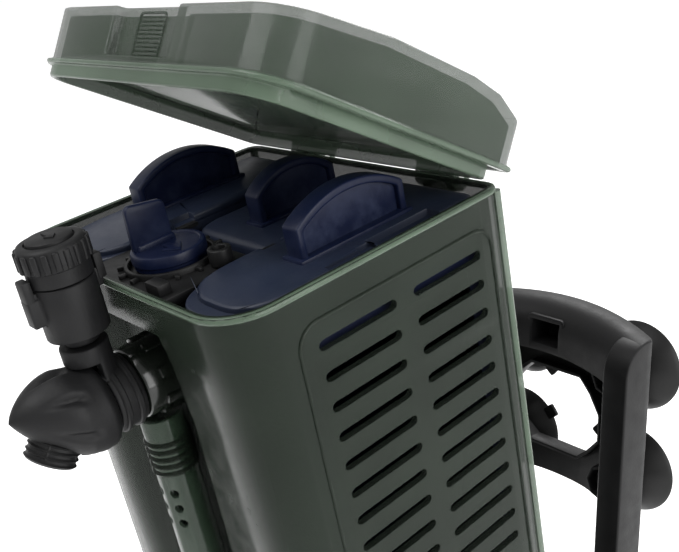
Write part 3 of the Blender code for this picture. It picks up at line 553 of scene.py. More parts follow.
def build_ring(tree, entry):
    """Copies of the seed round Z, the seed already standing at its radius."""
    line = tree.nodes.new("GeometryNodeMeshLine")
    line.inputs["Offset"].default_value = (0.0, 0.0, 0.0)
    place_on = tree.nodes.new("GeometryNodeInstanceOnPoints")
    index = tree.nodes.new("GeometryNodeInputIndex")
    step = tree.nodes.new("ShaderNodeMath")
    step.operation = "DIVIDE"
    turn = tree.nodes.new("ShaderNodeMath")
    turn.operation = "MULTIPLY"
    angle = tree.nodes.new("ShaderNodeCombineXYZ")
    tree.links.new(entry.outputs["Count"], line.inputs["Count"])
    tree.links.new(entry.outputs["Sweep"], step.inputs[0])
    tree.links.new(entry.outputs["Count"], step.inputs[1])
    tree.links.new(index.outputs["Index"], turn.inputs[0])
    tree.links.new(step.outputs[0], turn.inputs[1])
    tree.links.new(turn.outputs[0], angle.inputs["Z"])
    tree.links.new(line.outputs["Mesh"], place_on.inputs["Points"])
    tree.links.new(entry.outputs["Geometry"], place_on.inputs["Instance"])
    tree.links.new(angle.outputs["Vector"], place_on.inputs["Rotation"])
    return place_on.outputs["Instances"]


def build_rows(tree, entry):
    """Copies of the seed in rows and columns, each by its own step."""
    row = tree.nodes.new("GeometryNodeMeshLine")
    column = tree.nodes.new("GeometryNodeMeshLine")
    first = tree.nodes.new("GeometryNodeInstanceOnPoints")
    second = tree.nodes.new("GeometryNodeInstanceOnPoints")
    tree.links.new(entry.outputs["Row Count"], row.inputs["Count"])
    tree.links.new(entry.outputs["Row Step"], row.inputs["Offset"])
    tree.links.new(entry.outputs["Column Count"], column.inputs["Count"])
    tree.links.new(entry.outputs["Column Step"], column.inputs["Offset"])
    tree.links.new(row.outputs["Mesh"], first.inputs["Points"])
    tree.links.new(entry.outputs["Geometry"], first.inputs["Instance"])
    tree.links.new(column.outputs["Mesh"], second.inputs["Points"])
    tree.links.new(first.outputs["Instances"], second.inputs["Instance"])
    return second.outputs["Instances"]


def build_heap(tree, entry):
    """Copies of the seed packed in a box, each turned its own way."""
    grid = tree.nodes.new("GeometryNodeMeshGrid")
    stack = tree.nodes.new("GeometryNodeMeshLine")
    layers = tree.nodes.new("GeometryNodeInstanceOnPoints")
    real = tree.nodes.new("GeometryNodeRealizeInstances")
    turn = tree.nodes.new("FunctionNodeRandomValue")
    turn.data_type = "FLOAT_VECTOR"
    turn.inputs["Max"].default_value = (math.tau, math.tau, math.tau)
    drop = tree.nodes.new("GeometryNodeInstanceOnPoints")
    for label, socket in (("Width", "Size X"), ("Depth", "Size Y"), ("Across", "Vertices X"),
                          ("Along", "Vertices Y")):
        tree.links.new(entry.outputs[label], grid.inputs[socket])
    tree.links.new(entry.outputs["Layers"], stack.inputs["Count"])
    tree.links.new(entry.outputs["Layer Step"], stack.inputs["Offset"])
    tree.links.new(entry.outputs["Seed"], turn.inputs["Seed"])
    tree.links.new(stack.outputs["Mesh"], layers.inputs["Points"])
    tree.links.new(grid.outputs["Mesh"], layers.inputs["Instance"])
    tree.links.new(layers.outputs["Instances"], real.inputs["Geometry"])
    tree.links.new(real.outputs["Geometry"], drop.inputs["Points"])
    tree.links.new(entry.outputs["Geometry"], drop.inputs["Instance"])
    tree.links.new(turn.outputs["Value"], drop.inputs["Rotation"])
    return drop.outputs["Instances"]


RING_COPIES = copies_tree("ring_copies", [("Count", "NodeSocketInt"), ("Sweep", "NodeSocketFloat")],
                          build_ring)
ROW_COPIES = copies_tree("row_copies", [("Row Count", "NodeSocketInt"), ("Row Step", "NodeSocketVector"),
                                        ("Column Count", "NodeSocketInt"),
                                        ("Column Step", "NodeSocketVector")],
                         build_rows)
HEAP_COPIES = copies_tree("heap_copies", [("Width", "NodeSocketFloat"), ("Depth", "NodeSocketFloat"),
                                          ("Across", "NodeSocketInt"), ("Along", "NodeSocketInt"),
                                          ("Layers", "NodeSocketInt"), ("Layer Step", "NodeSocketVector"),
                                          ("Seed", "NodeSocketInt")], build_heap)


def repeat(seed, tree, finish, **values):
    """Run one of the trees on a seed mesh and keep the result as a plain mesh."""
    step = seed.modifiers.new("copies", "NODES")
    step.node_group = tree
    wanted = dict(values, Finish=finish)
    for socket in tree.interface.items_tree:
        label = socket.name.replace(" ", "_")
        if socket.in_out == "INPUT" and label in wanted:
            step[socket.identifier] = wanted[label]
    result = dress(bake(seed), finish)
    result.data.polygons.foreach_set("material_index", [0] * len(result.data.polygons))
    return result


def ring_of(seed, finish, count, sweep_angle=math.tau):
    return repeat(seed, RING_COPIES, finish, Count=count, Sweep=sweep_angle)


def rows_of(seed, finish, count, step, columns=1, column_step=(0.0, 0.0, 0.0)):
    return repeat(seed, ROW_COPIES, finish, Row_Count=count, Row_Step=step, Column_Count=columns,
                  Column_Step=column_step)


# ---------------------------------------------------------------- housing
def side_bead(sign):
    """The thin raised border round each field of slots."""
    path = [(x, y, 0.0) for x, y in rounded(-0.0310, 0.0425, 0.0300, 0.2905, 0.007, 0.007)]
    bead = sweep("border", path, circle(0.00055, 8))
    bead.data.transform(Matrix(((0, 0, 1, sign * HALF_WIDTH), (1, 0, 0, 0), (0, 1, 0, 0), (0, 0, 0, 1))))
    return shade(dress(bead, SMOKED), 60)


def build_housing():
    shell = dress(cad_copy("housing", 0.0), SMOKED)
    # The rim bead below is drawn in the paler clear finish, a painted edge sheen.
    path = [(x, y, RIM_Z - 0.0009) for x, y in rounded(
        -HALF_WIDTH + 0.0008, HALF_WIDTH - 0.0008, -HALF_DEPTH + 0.0008, HALF_DEPTH - 0.0008, 0.0142,
        0.0042)]
    lip = dress(shade(sweep("lip", path, circle(0.0011, 12)), 60), PAINTED_SHEEN_CLEAR)
    # Round posts at the rear corners, in the paler clear finish: a painted edge sheen.
    post = []
    for sign in (-1, 1):
        path = [(sign * (HALF_WIDTH - 0.0014), HALF_DEPTH - 0.0014, z)
                for z in (0.006, 0.10, 0.20, 0.2985)]
        rings = [[(x + a, y + b, z) for a, b in circle(0.0015, 12)] for x, y, z in path]
        post.append(dress(shade(loft("corner", rings), 60), PAINTED_SHEEN_CLEAR))
    whole = fuse("housing_shell", [shell, lip, side_bead(-1), side_bead(1)] + post)
    show(whole, None, "housing", "clear_green", "housing")
    for side in ("left", "right"):
        # The hinge knuckles take the paler clear finish, a painted edge sheen.
        knuckle = cad_copy("hinge_knuckle_" + side, 0.0005)
        show(knuckle, PAINTED_SHEEN_CLEAR, "housing", "clear_green", "hinge_knuckle_" + side)
        show(cad_copy("hinge_pin_" + side, 0.0002), STEEL, "housing", "steel", "hinge_pin_" + side)
        show(cad_copy("tube_clip_" + side, 0.0003), BLACK, "housing", "black_plastic",
             "tube_clip_" + side)
    show(cad_copy("cord_gland", 0.0006), RUBBER, "housing", "black_rubber", "cord_gland")
    for i in range(1, 5):
        show(cad_copy("floor_pad_%d" % i, 0.0004), RUBBER, "housing", "black_rubber", "floor_pad_%d" % i)


# ---------------------------------------------------------------- lid
def build_lid():
    lid = dress(cad_copy("lid", 0.0007), SMOKED_LID)
    lid.data.materials.append(PAINTED_SHEEN_CLEAR)
    # Faces below the skirt's top take the paler clear finish: a painted edge sheen.
    upright = ON_LID.inverted()
    for face in lid.data.polygons:
        if (upright @ face.center).z < SKIRT_TOP:
            face.material_index = 1
    dot = turned("dot", [(0.0, -0.0003), (0.00034, -0.0003), (0.00034, 0.0), (0.00022, 0.0002),
                         (0.0, 0.00026)], ALONG_Y, 10)
    dots = rows_of(dot, SMOKED_LID, 11, (0.00105, 0.0, 0.0), 11, (0.0, 0.0, 0.0012))
    place(dots, Matrix.Translation((-0.00525, -0.0381, 0.3040)))
    frame_path = [(x, y, 0.0) for x, y in rounded(-0.0068, 0.0068, 0.3028, 0.3172, 0.0012, 0.0012, 4)]
    border = sweep("border", frame_path, circle(0.0004, 8))
    border.data.transform(Matrix(((1, 0, 0, 0), (0, 0, 1, -0.0381), (0, 1, 0, 0), (0, 0, 0, 1))))
    extras = fuse("grip", [dots, dress(shade(border, 60), SMOKED_LID)])
    place(extras, ON_LID)
    show(fuse("lid_shell", [lid, extras]), None, "lid", "clear_green", "lid")


# ---------------------------------------------------------------- cartridges
def handle_outline(front, length, base, side, crown, inset=0.0):
    middle = front + length / 2
    rise = crown - side
    radius = ((length / 2) ** 2 + rise ** 2) / (2 * rise)
    sweep_angle = math.degrees(math.asin((length / 2 - inset) / (radius - inset)))
    top = arc((middle, base + crown - radius), radius - inset, 90 - sweep_angle, 90 + sweep_angle, 24)
    return [(front + inset, base - 0.002), (front + length - inset, base - 0.002)] + top


def grip(x, front, length, base):
    """A thin web with a wide band round its back, as a finger pull."""
    outer = handle_outline(front, length, base, PULL_SIDE, PULL_CROWN)
    inner = handle_outline(front, length, base, PULL_SIDE, PULL_CROWN, PULL_BAND)
    middle = handle_outline(front, length, base, PULL_SIDE, PULL_CROWN, 0.0006)
    web = outline_x("web", middle, x - 0.0016, x + 0.0016)
    half = PULL_HALF
    rows = []
    for (ya, za), (yb, zb) in zip(outer[2:], inner[2:]):
        rows.append([(x - half, ya, za), (x + half, ya, za), (x + half, yb, zb), (x - half, yb, zb)])
    first = [(px, py, base - 0.002) for px, py, _ in rows[0]]
    last = [(px, py, base - 0.002) for px, py, _ in rows[-1]]
    band = soften(loft("band", [first] + rows + [last]), 0.0006, 3)
    foot = block("foot", (x - half - 0.0012, front - 0.0012, base - 0.002),
                 (x + half + 0.0012, front + length + 0.0012, base + 0.0010), 0.0006)
    return [dress(shade(web, 38), NAVY), dress(band, NAVY), dress(foot, NAVY)]


def cap_block(name, sides, corners, low, high, edge, nose):
    cap = slab(name, sides, corners, low, high, edge)
    work = bmesh.new()
    work.from_mesh(cap.data)
    start = nose[0]
    for i in range(9):
        y = start - (start - sides[2]) * i / 9
        everything = work.verts[:] + work.edges[:] + work.faces[:]
        bmesh.ops.bisect_plane(work, geom=everything, plane_co=(0, y, 0), plane_no=(0, 1, 0))
    for vert in work.verts:
        if vert.co.y < start and vert.co.z > low + 0.003:
            reach = (start - vert.co.y) / (start - sides[2])
            vert.co.z -= nose[1] * reach ** 1.7
    work.to_mesh(cap.data)
    work.free()
    return cap


def build_side_cartridge(side, sign):
    low_x, high_x = sorted((sign * CAP_INNER, sign * CAP_OUTER))
    seat = CAP_TOP - LEDGE
    base = slab("seat", (low_x, high_x, -0.0438, 0.0448), (0.0135, 0.004), CAP_BASE, seat, 0.0008)
    shade(dress(base, NAVY_CAP), 40)
    low_x, high_x = sorted((sign * CAP_INNER, sign * (CAP_OUTER - LEDGE)))
    cap = cap_block("cap", (low_x, high_x, -0.0394, 0.0446), (0.0130, 0.003), seat - 0.0010, CAP_TOP,
                    0.0016, (-0.018, 0.0014))

    def notch(x0, x1, y0, y1, deep):
        a, b = sorted((sign * x0, sign * x1))
        return block("notch", (a, y0, CAP_TOP - deep), (b, y1, CAP_TOP + 0.01))

    # Black blocks set under the notches: painted shadow in the notches.
    def shadow(x0, x1, y0, y1):
        a, b = sorted((sign * x0, sign * x1))
        return dress(block("notch_shadow_block", (a, y0, seat - 0.0008), (b, y1, seat + 0.0004)), BLACK)

    cap = cut(cap, notch(0.0500, 0.0600, 0.0050, 0.0300, 0.0021),
              notch(0.0515, 0.0600, 0.0000, 0.0050, 0.0015),
              notch(0.0530, 0.0600, -0.0120, 0.0000, 0.0010),
              notch(0.0200, 0.0262, -0.0120, -0.0040, 0.0020))
    cap = dress(soften(cap, 0.0003, 2, 40), NAVY_CAP)
    # Painted shadow blocks under two of the notches.
    painted_notch_shadows = [shadow(0.0505, 0.0552, 0.0060, 0.0290), shadow(0.0205, 0.0258, -0.0115, -0.0045)]
    whole = fuse("cap_and_pull_" + side, [base, cap] + painted_notch_shadows + grip(sign * 0.042, -0.013, 0.040, CAP_TOP))
    body = "cartridge_" + side
    show(whole, None, body, "blue_plastic", "cartridge_cap_" + side)
    show(cad_copy("cartridge_cage_" + side, 0.0004), NAVY, body, "blue_plastic", "cartridge_cage_" + side)
    show(foam_pad("foam_block_" + side, "foam_pad_" + side), FOAM, body, "filter_foam",
                   "foam_pad_" + side)


def foam_pad(name, node):
    """A cut foam block: soft corners and a slightly uneven face."""
    low, high = (Vector(corner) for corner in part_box(node))
    work = bmesh.new()
    bmesh.ops.create_cube(work, size=1.0)
    bmesh.ops.subdivide_edges(work, edges=work.edges[:], cuts=23, use_grid_fill=True)
    size = high - low
    middle = (high + low) / 2
    for vert in work.verts:
        at = Vector(c * s for c, s in zip(vert.co, size))
        edge = [max(0.0, abs(c) - s / 2 + 0.003) / 0.003 for c, s in zip(at, size)]
        crowd = math.sqrt(sum(e * e for e in edge))
        pull = 0.0015 * max(0.0, crowd - 1.0) if crowd > 1.0 else 0.0
        sink = 0.0002 + 0.0005 * (0.5 + 0.5 * noise.noise((at + middle) * 90.0))
        away = Vector(math.copysign(1.0, c) if e > 0.9 else 0.0 for c, e in zip(at, edge))
        vert.co = middle + at - away * (sink + pull)
    return shade(from_bmesh(name, work), 180)


def build_basket():
    cap = cap_block("cap", (-0.020, 0.020, -0.006, 0.0448), (0.003, 0.003), 0.2870, BASKET_TOP, 0.0018,
                    (0.002, 0.0015))
    rear = block("notch", (-0.0085, 0.0385, BASKET_TOP - 0.003), (0.0085, 0.0470, BASKET_TOP + 0.01))
    cap = dress(soften(cut(cap, rear), 0.0004, 2, 40), NAVY_CAP)
    whole = fuse("basket_cap_and_pull", [cap] + grip(0.0, 0.0042, 0.032, BASKET_TOP))
    show(whole, None, "media_insert", "blue_plastic", "basket_cap")
    show(cad_copy("media_basket", 0.0004), BLACK, "media_insert", "black_plastic", "media_basket")
    ring = turned("ring", [(0.0021, -0.0034), (0.0041, -0.0034), (0.0041, 0.0034), (0.0021, 0.0034),
                           (0.0021, -0.0034)],
                  Matrix(), 12)
    shade(ring, 40)
    heap = repeat(ring, HEAP_COPIES, CERAMIC, Width=0.0222, Depth=0.0330, Across=RING_ACROSS,
                  Along=RING_ALONG, Layers=RING_LAYERS, Layer_Step=(0.0, 0.0, RING_PITCH), Seed=4)
    place(heap, Matrix.Translation((0.0, 0.0194, 0.0755)))
    heap.name = "ceramic_rings"
    show(heap, None, "media_insert", "ceramic_media", "bio_media")


# ---------------------------------------------------------------- flow control
def build_flow_control():
    plate = dress(cad_copy("valve_plate", 0.0004), BLACK)
    at = Matrix.Translation((0.0, KNOB_Y, PLATE_TOP))
    collar = turned("collar", [(0.0126, -0.0004), (0.0140, -0.0004), (0.0140, 0.0014), (0.0137, 0.0018),
                               (0.0129, 0.0018), (0.0126, 0.0015), (0.0126, -0.0004)], at, 72)
    rib = block("rib", (0.0138, -0.0007, -0.0003), (0.0163, 0.0007, 0.0012), 0.0003)
    ribs = place(ring_of(rib, BLACK, 14), at)
    ear = dress(block("ear", (-0.0205, -0.0215, PLATE_TOP - 0.0003),
                      (-0.0150, -0.0165, PLATE_TOP + 0.0028), 0.0008), BLACK)
    stop = dress(block("stop", (0.0130, -0.0440, PLATE_TOP - 0.0003),
                       (0.0205, -0.0395, PLATE_TOP + 0.0035), 0.0009), BLACK)
    whole = fuse("valve_plate_and_collar", [plate, dress(shade(collar, 40), BLACK), ribs, ear, stop])
    show(whole, None, "housing", "black_plastic", "valve_plate")
    show(cad_copy("plate_screw", 0.0004), BLACK, "housing", "black_plastic", "plate_screw")

    low = PLATE_TOP + KNOB_LIFT
    disc = turned("disc", [(0.0, 0.0), (0.0105, 0.0), (0.0109, 0.0004), (0.0109, 0.0016),
                           (KNOB_RADIUS, 0.0020), (KNOB_RADIUS, 0.0044), (0.0110, 0.0050),
                           (0.0105, 0.0052), (0.0098, 0.0052), (0.0095, 0.0048),
                           (0.0, 0.0048)], Matrix.Translation((0.0, KNOB_Y, low)), 96)
    spindle = turned("spindle",
                     [(0.0, -0.0144), (0.0032, -0.0144), (0.0035, -0.0140), (0.0035, 0.0010),
                      (0.0, 0.0010)],
                     Matrix.Translation((0.0, KNOB_Y, low)), 32)
    front = KNOB_Y - 0.0088
    rear = KNOB_Y + 0.0047
    top = low + 0.0187
    outline = [(front, low + 0.0040), (rear, low + 0.0040)]
    outline += arc((rear - 0.0022, top - 0.0036), 0.0022, 0, 80, 6)
    outline += arc((front + 0.0026, top - 0.0022), 0.0022, 96, 180, 6)
    wing = outline_x("wing", outline, -0.0061, -0.0039, 0.0006, 3)
    root = outline_x("root", [(front + 0.0006, low + 0.0040), (rear + 0.0006, low + 0.0040),
                              (rear, low + 0.0066),
                              (front + 0.0014, low + 0.0066)], -0.0072, -0.0030, 0.0007, 3)
    mark = [(0.0070, 0.0), (0.0018, 0.0034), (0.0018, 0.0013), (-0.0016, 0.0013), (-0.0016, -0.0013),
            (0.0018, -0.0013), (0.0018, -0.0034)]
    rows = [[(x + 0.0012, KNOB_Y + y - 0.0004, low + z) for x, y in mark] for z in (0.0040, 0.0053)]
    arrow = soften(loft("mark", rows), 0.0002)
    pieces = [dress(shade(p, 40), NAVY) for p in (disc, spindle)]
    pieces += [dress(p, NAVY) for p in (wing, root, arrow)]
    show(fuse("knob_and_wing", pieces), None, "flow_knob", "blue_plastic", "flow_knob")


# ---------------------------------------------------------------- pump and outlet tube
def build_pump():
    show(cad_copy("motor_body", 0.0008), BLACK, "housing", "black_plastic", "motor_body")
    show(cad_copy("impeller_cover", 0.0006), BLACK, "housing", "black_plastic", "impeller_cover")
    show(cad_copy("impeller_shaft", 0.0002), STEEL, "housing", "steel", "impeller_shaft")
    show(cad_copy("impeller", 0.0003), RUBBER, "impeller", "black_rubber", "impeller")


def build_tube():
    tube = dress(cad_copy("spray_tube", 0.0003), DARK_CLEAR)
    y = RECESS_Y - 0.0072
    thread = turned("thread", [(0.0064, -0.0010), (0.0070, -0.0008), (0.0075, 0.0), (0.0070, 0.0008),
                               (0.0064, 0.0010), (0.0064, -0.0010)], Matrix(), 48)
    shade(thread, 60)
    threads = rows_of(thread, SMOKED, 5, (0.0, 0.0, 0.0026))
    place(threads, Matrix.Translation((0.0, y, 0.2345)))
    collar = turned("collar", [(0.0064, -0.003), (0.0078, -0.003), (0.0080, -0.0027), (0.0080, 0.0027),
                               (0.0078, 0.003), (0.0064, 0.003),
                               (0.0064, -0.003)], Matrix.Translation((0.0, y, 0.0215)), 48)
    show(fuse("outlet_tube", [tube, threads, dress(shade(collar, 40), SMOKED)]), None, "housing",
         "clear_green", "spray_tube")


# ---------------------------------------------------------------- nozzle
def head_radius(t):
    if t < 0.10:
        return 0.0108 + 0.0024 * math.sin(t / 0.10 * math.pi / 2)
    if t < 0.36:
        return 0.0132 + 0.0003 * (t - 0.10) / 0.26
    return 0.0135 * max(0.0, 1.0 - ((t - 0.36) / 0.64) ** 1.55) ** 0.80


def head_shell():
    """An egg that lifts towards its tip, with long flutes that run out before the nose."""
    steps = 56
    sides = 144
    rings = []
    for i in range(steps + 1):
        t = math.sin(math.pi / 2 * i / steps) if i < steps else 1.0
        radius = head_radius(t)
        lift = HEAD_LIFT * max(0.0, (t - 0.20) / 0.80) ** 1.2
        window = max(0.0, min(1.0, (t - 0.26) / 0.10)) * max(0.0, min(1.0, (0.74 - t) / 0.25))
        ring = []
        for j in range(sides):
            a = math.tau * j / sides
            flute = max(0.0, math.cos(a * FLUTE_COUNT)) ** 3.0 * window
            r = max(radius * (1.0 - 0.13 * flute), 0.0002)
            ring.append((r * math.sin(a), HEAD_START - HEAD_LENGTH * t,
                         NOZZLE_Z + lift + r * math.cos(a)))
        rings.append(ring)
    return loft("head", rings)


def build_nozzle():
    socket = dress(cad_copy("nozzle_socket", 0.0006), GLOSS_BLACK)
    at = Matrix.Translation((0.0, RECESS_Y, NOZZLE_Z)) @ ALONG_Y
    rib = block("rib", (0.0108, -0.0016, 0.0012), (0.0123, 0.0016, 0.0085), 0.0005)
    ribs = place(ring_of(rib, GLOSS_BLACK, 8), at @ Matrix.Rotation(math.radians(22.5), 4, "Z"))
    show(fuse("socket_and_ribs", [socket, ribs]), None, "housing", "black_plastic", "nozzle_socket")

    elbow = dress(cad_copy("nozzle_elbow", 0.0005), CHARCOAL)
    bead = turned("bead", [(0.0104, -0.0009), (0.0112, -0.0009), (0.0116, -0.0005), (0.0116, 0.0005),
                           (0.0112, 0.0009), (0.0104, 0.0009), (0.0104, -0.0009)], ALONG_Y, 72)
    shade(bead, 40)
    beads = place(rows_of(bead, CHARCOAL, 2, (0.0, -0.0042, 0.0)),
                  Matrix.Translation((0.0, -0.0538, NOZZLE_Z)))
    show(fuse("elbow_and_stem", [elbow, beads]), None, "nozzle_arm", "black_plastic", "nozzle_elbow")

    throat = Vector((0.0, -0.0716, NOZZLE_Z + 0.002))
    aim = Vector((0.0, -math.cos(MOUTH_TILT), -math.sin(MOUTH_TILT)))
    aside = aim.to_track_quat("Z", "X").to_matrix().to_4x4()
    on_mouth = Matrix.Translation(throat) @ aside
    mouth = turned("mouth", [(0.0, 0.0), (0.0079, 0.0), (0.0088, 0.04), (0.0, 0.04)], on_mouth, 64)
    inlet = turned("inlet", [(0.0, -0.006), (0.0045, -0.006), (0.0045, 0.012), (0.0, 0.012)],
                   Matrix.Translation((0.0, HEAD_START, NOZZLE_Z)) @ ALONG_Y, 32)
    head = soften(cut(head_shell(), mouth, inlet), 0.0)
    show(head, CHARCOAL, "nozzle_head", "black_plastic", "nozzle_head")
    head.name = "fluted_head"

    insert = dress(cad_copy("nozzle_insert", 0.0003), BLACK)
    bar = block("bar", (-0.0058, -0.00045, 0.0), (0.0058, 0.00045, 0.0080), 0.0002)
    bars = rows_of(bar, BLACK, 5, (0.0, 0.0021, 0.0))
    quarter = Matrix.Rotation(math.radians(90.0), 4, "Z")
    place(bars, on_mouth @ quarter @ Matrix.Translation((0.0, -0.0042, 0.0048)))
    fold = turned("fold", [(0.0066, -0.0006), (0.0070, -0.0006), (0.0076, 0.0), (0.0070, 0.0006),
                           (0.0066, 0.0006), (0.0066, -0.0006)], Matrix(), 48)
    shade(fold, 40)
    folds = place(rows_of(fold, BLACK, 6, (0.0, 0.0, 0.0018)),
                  on_mouth @ Matrix.Translation((0.0, 0.0, 0.0048)))
    show(fuse("insert_and_bars", [insert, bars, folds]), None, "nozzle_head", "black_plastic",
         "nozzle_insert")


def build_air_valve():
    valve = dress(cad_copy("air_valve", 0.0006), CHARCOAL)
    at = Matrix.Translation((0.0, VALVE_Y, 0.0))
    tab = fuse("tab", [block("ear", (-0.0024, 0.0093, 0.3010), (0.0024, 0.0119, 0.3086), 0.0006),
                       block("root", (-0.0020, 0.0082, 0.2990), (0.0020, 0.0108, 0.3046), 0.0006)])
    tabs = place(ring_of(tab, CHARCOAL, 2), at)
    show(fuse("valve_and_tabs", [valve, tabs]), None, "nozzle_arm", "black_plastic", "air_valve")

    low = DIAL_BASE
    high = DIAL_TOP
    core = turned("core", [(0.0022, low), (0.0088, low), (0.0090, low + 0.0002), (0.0090, low + 0.0042),
                           (0.0096, low + 0.0046), (0.0096, high - 0.0012), (0.0090, high - 0.0003),
                           (0.0080, high), (0.0070, high), (0.0068, high - 0.0006),
                           (0.0066, high - 0.0006), (0.0064, high + 0.0006), (0.0060, high + 0.0009),
                           (0.0, high + 0.0009)], at, 80)
    seal = turned("seal", [(0.0022, low), (0.0, low)], at, 80)
    knurl = block("knurl", (0.0090, -0.00090, low + 0.0046), (0.01025, 0.00090, high - 0.0010), 0.0005, 3)
    knurls = place(ring_of(knurl, CHARCOAL, KNURL_COUNT), at)
    mark = [(0.0036, 0.0), (0.0012, 0.0018), (0.0012, 0.0007), (-0.0030, 0.0007), (-0.0030, -0.0007),
            (0.0012, -0.0007), (0.0012, -0.0018)]
    rows = [[(x, VALVE_Y + y, z) for x, y in mark] for z in (high + 0.0004, high + 0.0014)]
    arrow = dress(soften(loft("mark", rows), 0.00015), CHARCOAL)
    core = fuse("core", [core, seal])
    show(fuse("knurled_dial", [dress(shade(core, 40), CHARCOAL), knurls, arrow]), None, "air_dial",
         "black_plastic", "air_dial")


# ---------------------------------------------------------------- bracket and suction cups
def suction_cup(x, y, z):
    neck = CUP_NECK
    steps = 18
    outer = []
    inner = []
    for i in range(steps + 1):
        t = i / steps
        radius = neck + 0.003 + (CUP_RADIUS - neck - 0.003) * t
        height = CUP_DEPTH * (0.12 + 0.88 * t ** 1.6)
        outer.append((radius, height))
        inner.append((max(radius - 0.002, 0.0), height + 0.0022 * (1.0 - t)))
    outer[-1] = (CUP_RADIUS - 0.0002, CUP_DEPTH)
    lip = [(CUP_RADIUS - 0.0014, CUP_DEPTH), (CUP_RADIUS - 0.0008, CUP_DEPTH + 0.0002)]
    profile = [(0.0, inner[0][1])] + inner + lip + list(reversed(outer))
    profile += [(neck + 0.003, 0.0), (neck, 0.0), (neck, -0.0085), (neck - 0.0006, -0.009), (0.0, -0.009)]
    bell = turned("bell", profile, Matrix.Rotation(math.radians(-90.0), 4, "X"), 96)
    tab = block("tab", (-0.0030, -0.0002, 0.0182), (0.0030, 0.0108, 0.0238), 0.0009, 3)
    for vert in tab.data.vertices:
        vert.co.y = 0.0094 + (vert.co.y - 0.0054) * 0.16
    inward = math.atan2(-x, 0.1585 - z)
    tab.data.transform(Matrix.Rotation(inward, 4, "Y"))
    cup = fuse("cup", [dress(shade(bell, 50), RUBBER), dress(tab, RUBBER)])
    return place(cup, ON_BRACKET @ Matrix.Translation((x, y, z)))


def bow(x):
    return BRACKET_BOW * (1.0 - (x / BRACKET_HALF) ** 2)


def bullnose(y, sag=0.0, steps=10):
    """Side profile of the bracket's top: a flat back and a big round over the front."""
    top = BRACKET_TOP - sag
    line = [(y, top - 0.022)]
    line += arc((y + 0.0130, top - 0.0130), 0.0130, 180, 90, steps)
    return line + [(y + 0.017, top), (y + 0.017, top - 0.022)]


def bowed(name, sections):
    """A beam lofted across the bracket from (x, outline) pairs."""
    return loft(name, [[(x, y, z) for y, z in outline] for x, outline in sections])


def build_frame():
    parts = []
    for sign in (-1, 1):
        profile = [(BRACKET_FRONT, 0.020), (BRACKET_FRONT, 0.180)]
        profile += bullnose(BRACKET_FRONT, BRACKET_SAG)[1:-1] + [(0.103, 0.020)]
        inner, outer = sorted((sign * 0.039, sign * BRACKET_HALF))
        parts.append(outline_x("rail", profile, inner, outer, 0.0009, 3))
    across = [-0.0495 + 0.099 * i / 36 for i in range(37)]
    sags = [BRACKET_SAG * (x / BRACKET_HALF) ** 2 for x in across]
    beam = bowed("beam", [(x, bullnose(BRACKET_FRONT + bow(x), sag)) for x, sag in zip(across, sags)])
    socket = block("socket", (-0.0070, 0.080, 0.1915), (0.0070, 0.1125, 0.2020))
    parts.append(soften(cut(beam, socket), 0.0005, 2, 42))
    rim = [(x, y, 0.0) for x, y in rounded(-0.0084, 0.0084, 0.1900, 0.2030, 0.0012, 0.0012, 4)]
    frame_bar = sweep("rim", rim,
                      [(0.0012, -0.0010), (0.0012, 0.0010), (-0.0010, 0.0010), (-0.0010, -0.0010)])
    frame_bar.data.transform(Matrix(((1, 0, 0, 0), (0, 0, 1, 0.1012), (0, 1, 0, 0), (0, 0, 0, 1))))
    parts.append(soften(frame_bar, 0.0003))

    def panel(x):
        y = 0.0990 + bow(x)
        reach = abs(x) / 0.0395
        foot = 0.1240 - 0.0200 * reach ** 5
        return [(y, foot), (y, 0.1930), (y + 0.004, 0.1930), (y + 0.004, foot)]

    web = bowed("web", [(x, panel(x)) for x in [-0.0395 + 0.079 * i / 40 for i in range(41)]])
    window = [(-0.0250, 0.1520), (-0.0190, 0.1450), (-0.0130, 0.1395), (0.0130, 0.1395), (0.0190, 0.1450),
              (0.0250, 0.1520), (0.0250, 0.1640), (0.0190, 0.1720), (0.0130, 0.1775), (-0.0130, 0.1775),
              (-0.0190, 0.1720), (-0.0250, 0.1640)]
    rows = [[(x, y, z) for x, z in window] for y in (0.085, 0.130)]
    web = cut(web, loft("window", rows))
    parts.append(soften(web, 0.0005, 2, 42))
    lip = sweep("lip", [(x, z, 0.0) for x, z in window],
                [(0.0013, -0.004), (0.0013, 0.004), (-0.0003, 0.004), (-0.0003, -0.004)])
    for vert in lip.data.vertices:
        x, z, y = vert.co
        vert.co = (x, 0.0992 + bow(x) + y, z)
    parts.append(soften(lip, 0.0004))
    boss = turned("boss", [(0.0050, 0.0), (0.0085, 0.0), (0.0085, 0.0085), (0.0072, 0.0085),
                           (0.0062, 0.0050), (0.0050, 0.0050), (0.0050, 0.0)], ALONG_Y, 8)
    soften(boss, 0.0003)
    bosses = rows_of(boss, BLACK, 2, (0.060, 0.0, 0.0), 2, (0.0, 0.0, 0.049))
    parts.append(place(bosses, Matrix.Translation((-0.030, 0.1125, 0.134))))
    whole = fuse("bracket_bars", [dress(part, BLACK) for part in parts])
    return place(whole, ON_BRACKET)


def build_bracket():
    show(build_frame(), None, "bracket", "black_plastic", "bracket_frame")
    show(cad_copy("bracket_foot", 0.0006), BLACK, "bracket_foot", "black_plastic", "bracket_foot")
    for row_name, row in CUP_ROWS:
        for side, sign in (("left", -1), ("right", 1)):
            cup = suction_cup(sign * CUP_SIDE, CUP_Y, row)
            cup.name = "cup_" + row_name + "_" + side
            show(cup, None, "bracket", "black_rubber", "suction_cup_" + row_name + "_" + side)


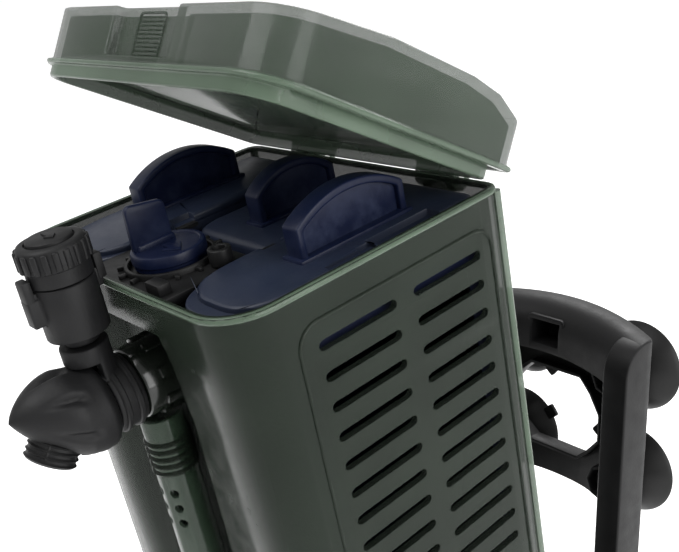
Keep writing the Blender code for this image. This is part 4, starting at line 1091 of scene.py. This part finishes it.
# ---------------------------------------------------------------- stage
def pale_floor():
    work = bmesh.new()
    bmesh.ops.create_grid(work, x_segments=2, y_segments=2, size=6.0)
    floor = from_bmesh("floor", work)
    item, tree, shader = new_material("pale_floor")
    where = tree.nodes.new("ShaderNodeTexCoord").outputs["Object"]
    cloud = add_noise(tree, where, 0.7, 2.0)
    shader.inputs["Roughness"].default_value = 0.9
    shader.inputs["Base Color"].default_value = (0.92, 0.92, 0.92, 1.0)
    shader.inputs["Emission Color"].default_value = (1.0, 1.0, 1.0, 1.0)
    shader.inputs["Emission Strength"].default_value = 0.45
    tree.links.new(add_range(tree, cloud.outputs["Fac"], 0.3, 0.7, 0.85, 0.95),
                   shader.inputs["Roughness"])
    dress(floor, item)


def area_light(name, where, aim, size, power, colour=(1.0, 1.0, 1.0)):
    lamp = bpy.data.lights.new(name, "AREA")
    lamp.shape = "RECTANGLE"
    lamp.size, lamp.size_y = size
    lamp.energy = power
    lamp.color = colour
    item = bpy.data.objects.new(name, lamp)
    item.location = where
    item.rotation_euler = (Vector(aim) - Vector(where)).to_track_quat("-Z", "Y").to_euler()
    bpy.context.scene.collection.objects.link(item)


def build_stage():
    pale_floor()
    world = bpy.data.worlds.new("studio")
    world.use_nodes = True
    world.node_tree.nodes["Background"].inputs["Color"].default_value = (1.0, 1.0, 1.0, 1.0)
    sky = world.node_tree.nodes["Background"]
    seen = world.node_tree.nodes.new("ShaderNodeLightPath").outputs["Is Camera Ray"]
    world.node_tree.links.new(add_range(world.node_tree, seen, 0.0, 1.0, 0.62, 1.0),
                              sky.inputs["Strength"])
    bpy.context.scene.world = world
    middle = (0.0, 0.0, 0.22)
    area_light("key", (-0.1, -0.35, 1.0), middle, (0.6, 0.6), 5.0)
    area_light("side", (1.0, 0.15, 0.50), middle, (0.7, 0.9), 9.0)
    area_light("back", (-0.2, 0.9, 0.8), middle, (0.8, 0.5), 9.0)


def build_camera():
    lens = bpy.data.cameras.new("camera")
    lens.lens = CAMERA_LENS
    lens.sensor_width = CAMERA_SENSOR
    lens.clip_start = 0.01
    item = bpy.data.objects.new("camera", lens)
    bearing = Matrix.Rotation(CAMERA_BEARING, 4, "Z")
    raised = Matrix.Rotation(math.radians(90.0) - CAMERA_ELEVATION, 4, "X")
    rolled = Matrix.Rotation(CAMERA_ROLL, 4, "Z")
    item.matrix_world = Matrix.Translation(CAMERA_AT) @ bearing @ raised @ rolled
    bpy.context.scene.collection.objects.link(item)
    bpy.context.scene.camera = item


bpy.context.scene.view_settings.view_transform = "Standard"
build_camera()
build_stage()
build_housing()
build_lid()
build_side_cartridge("left", -1)
build_side_cartridge("right", 1)
build_basket()
build_flow_control()
build_pump()
build_tube()
build_nozzle()
build_air_valve()
build_bracket()
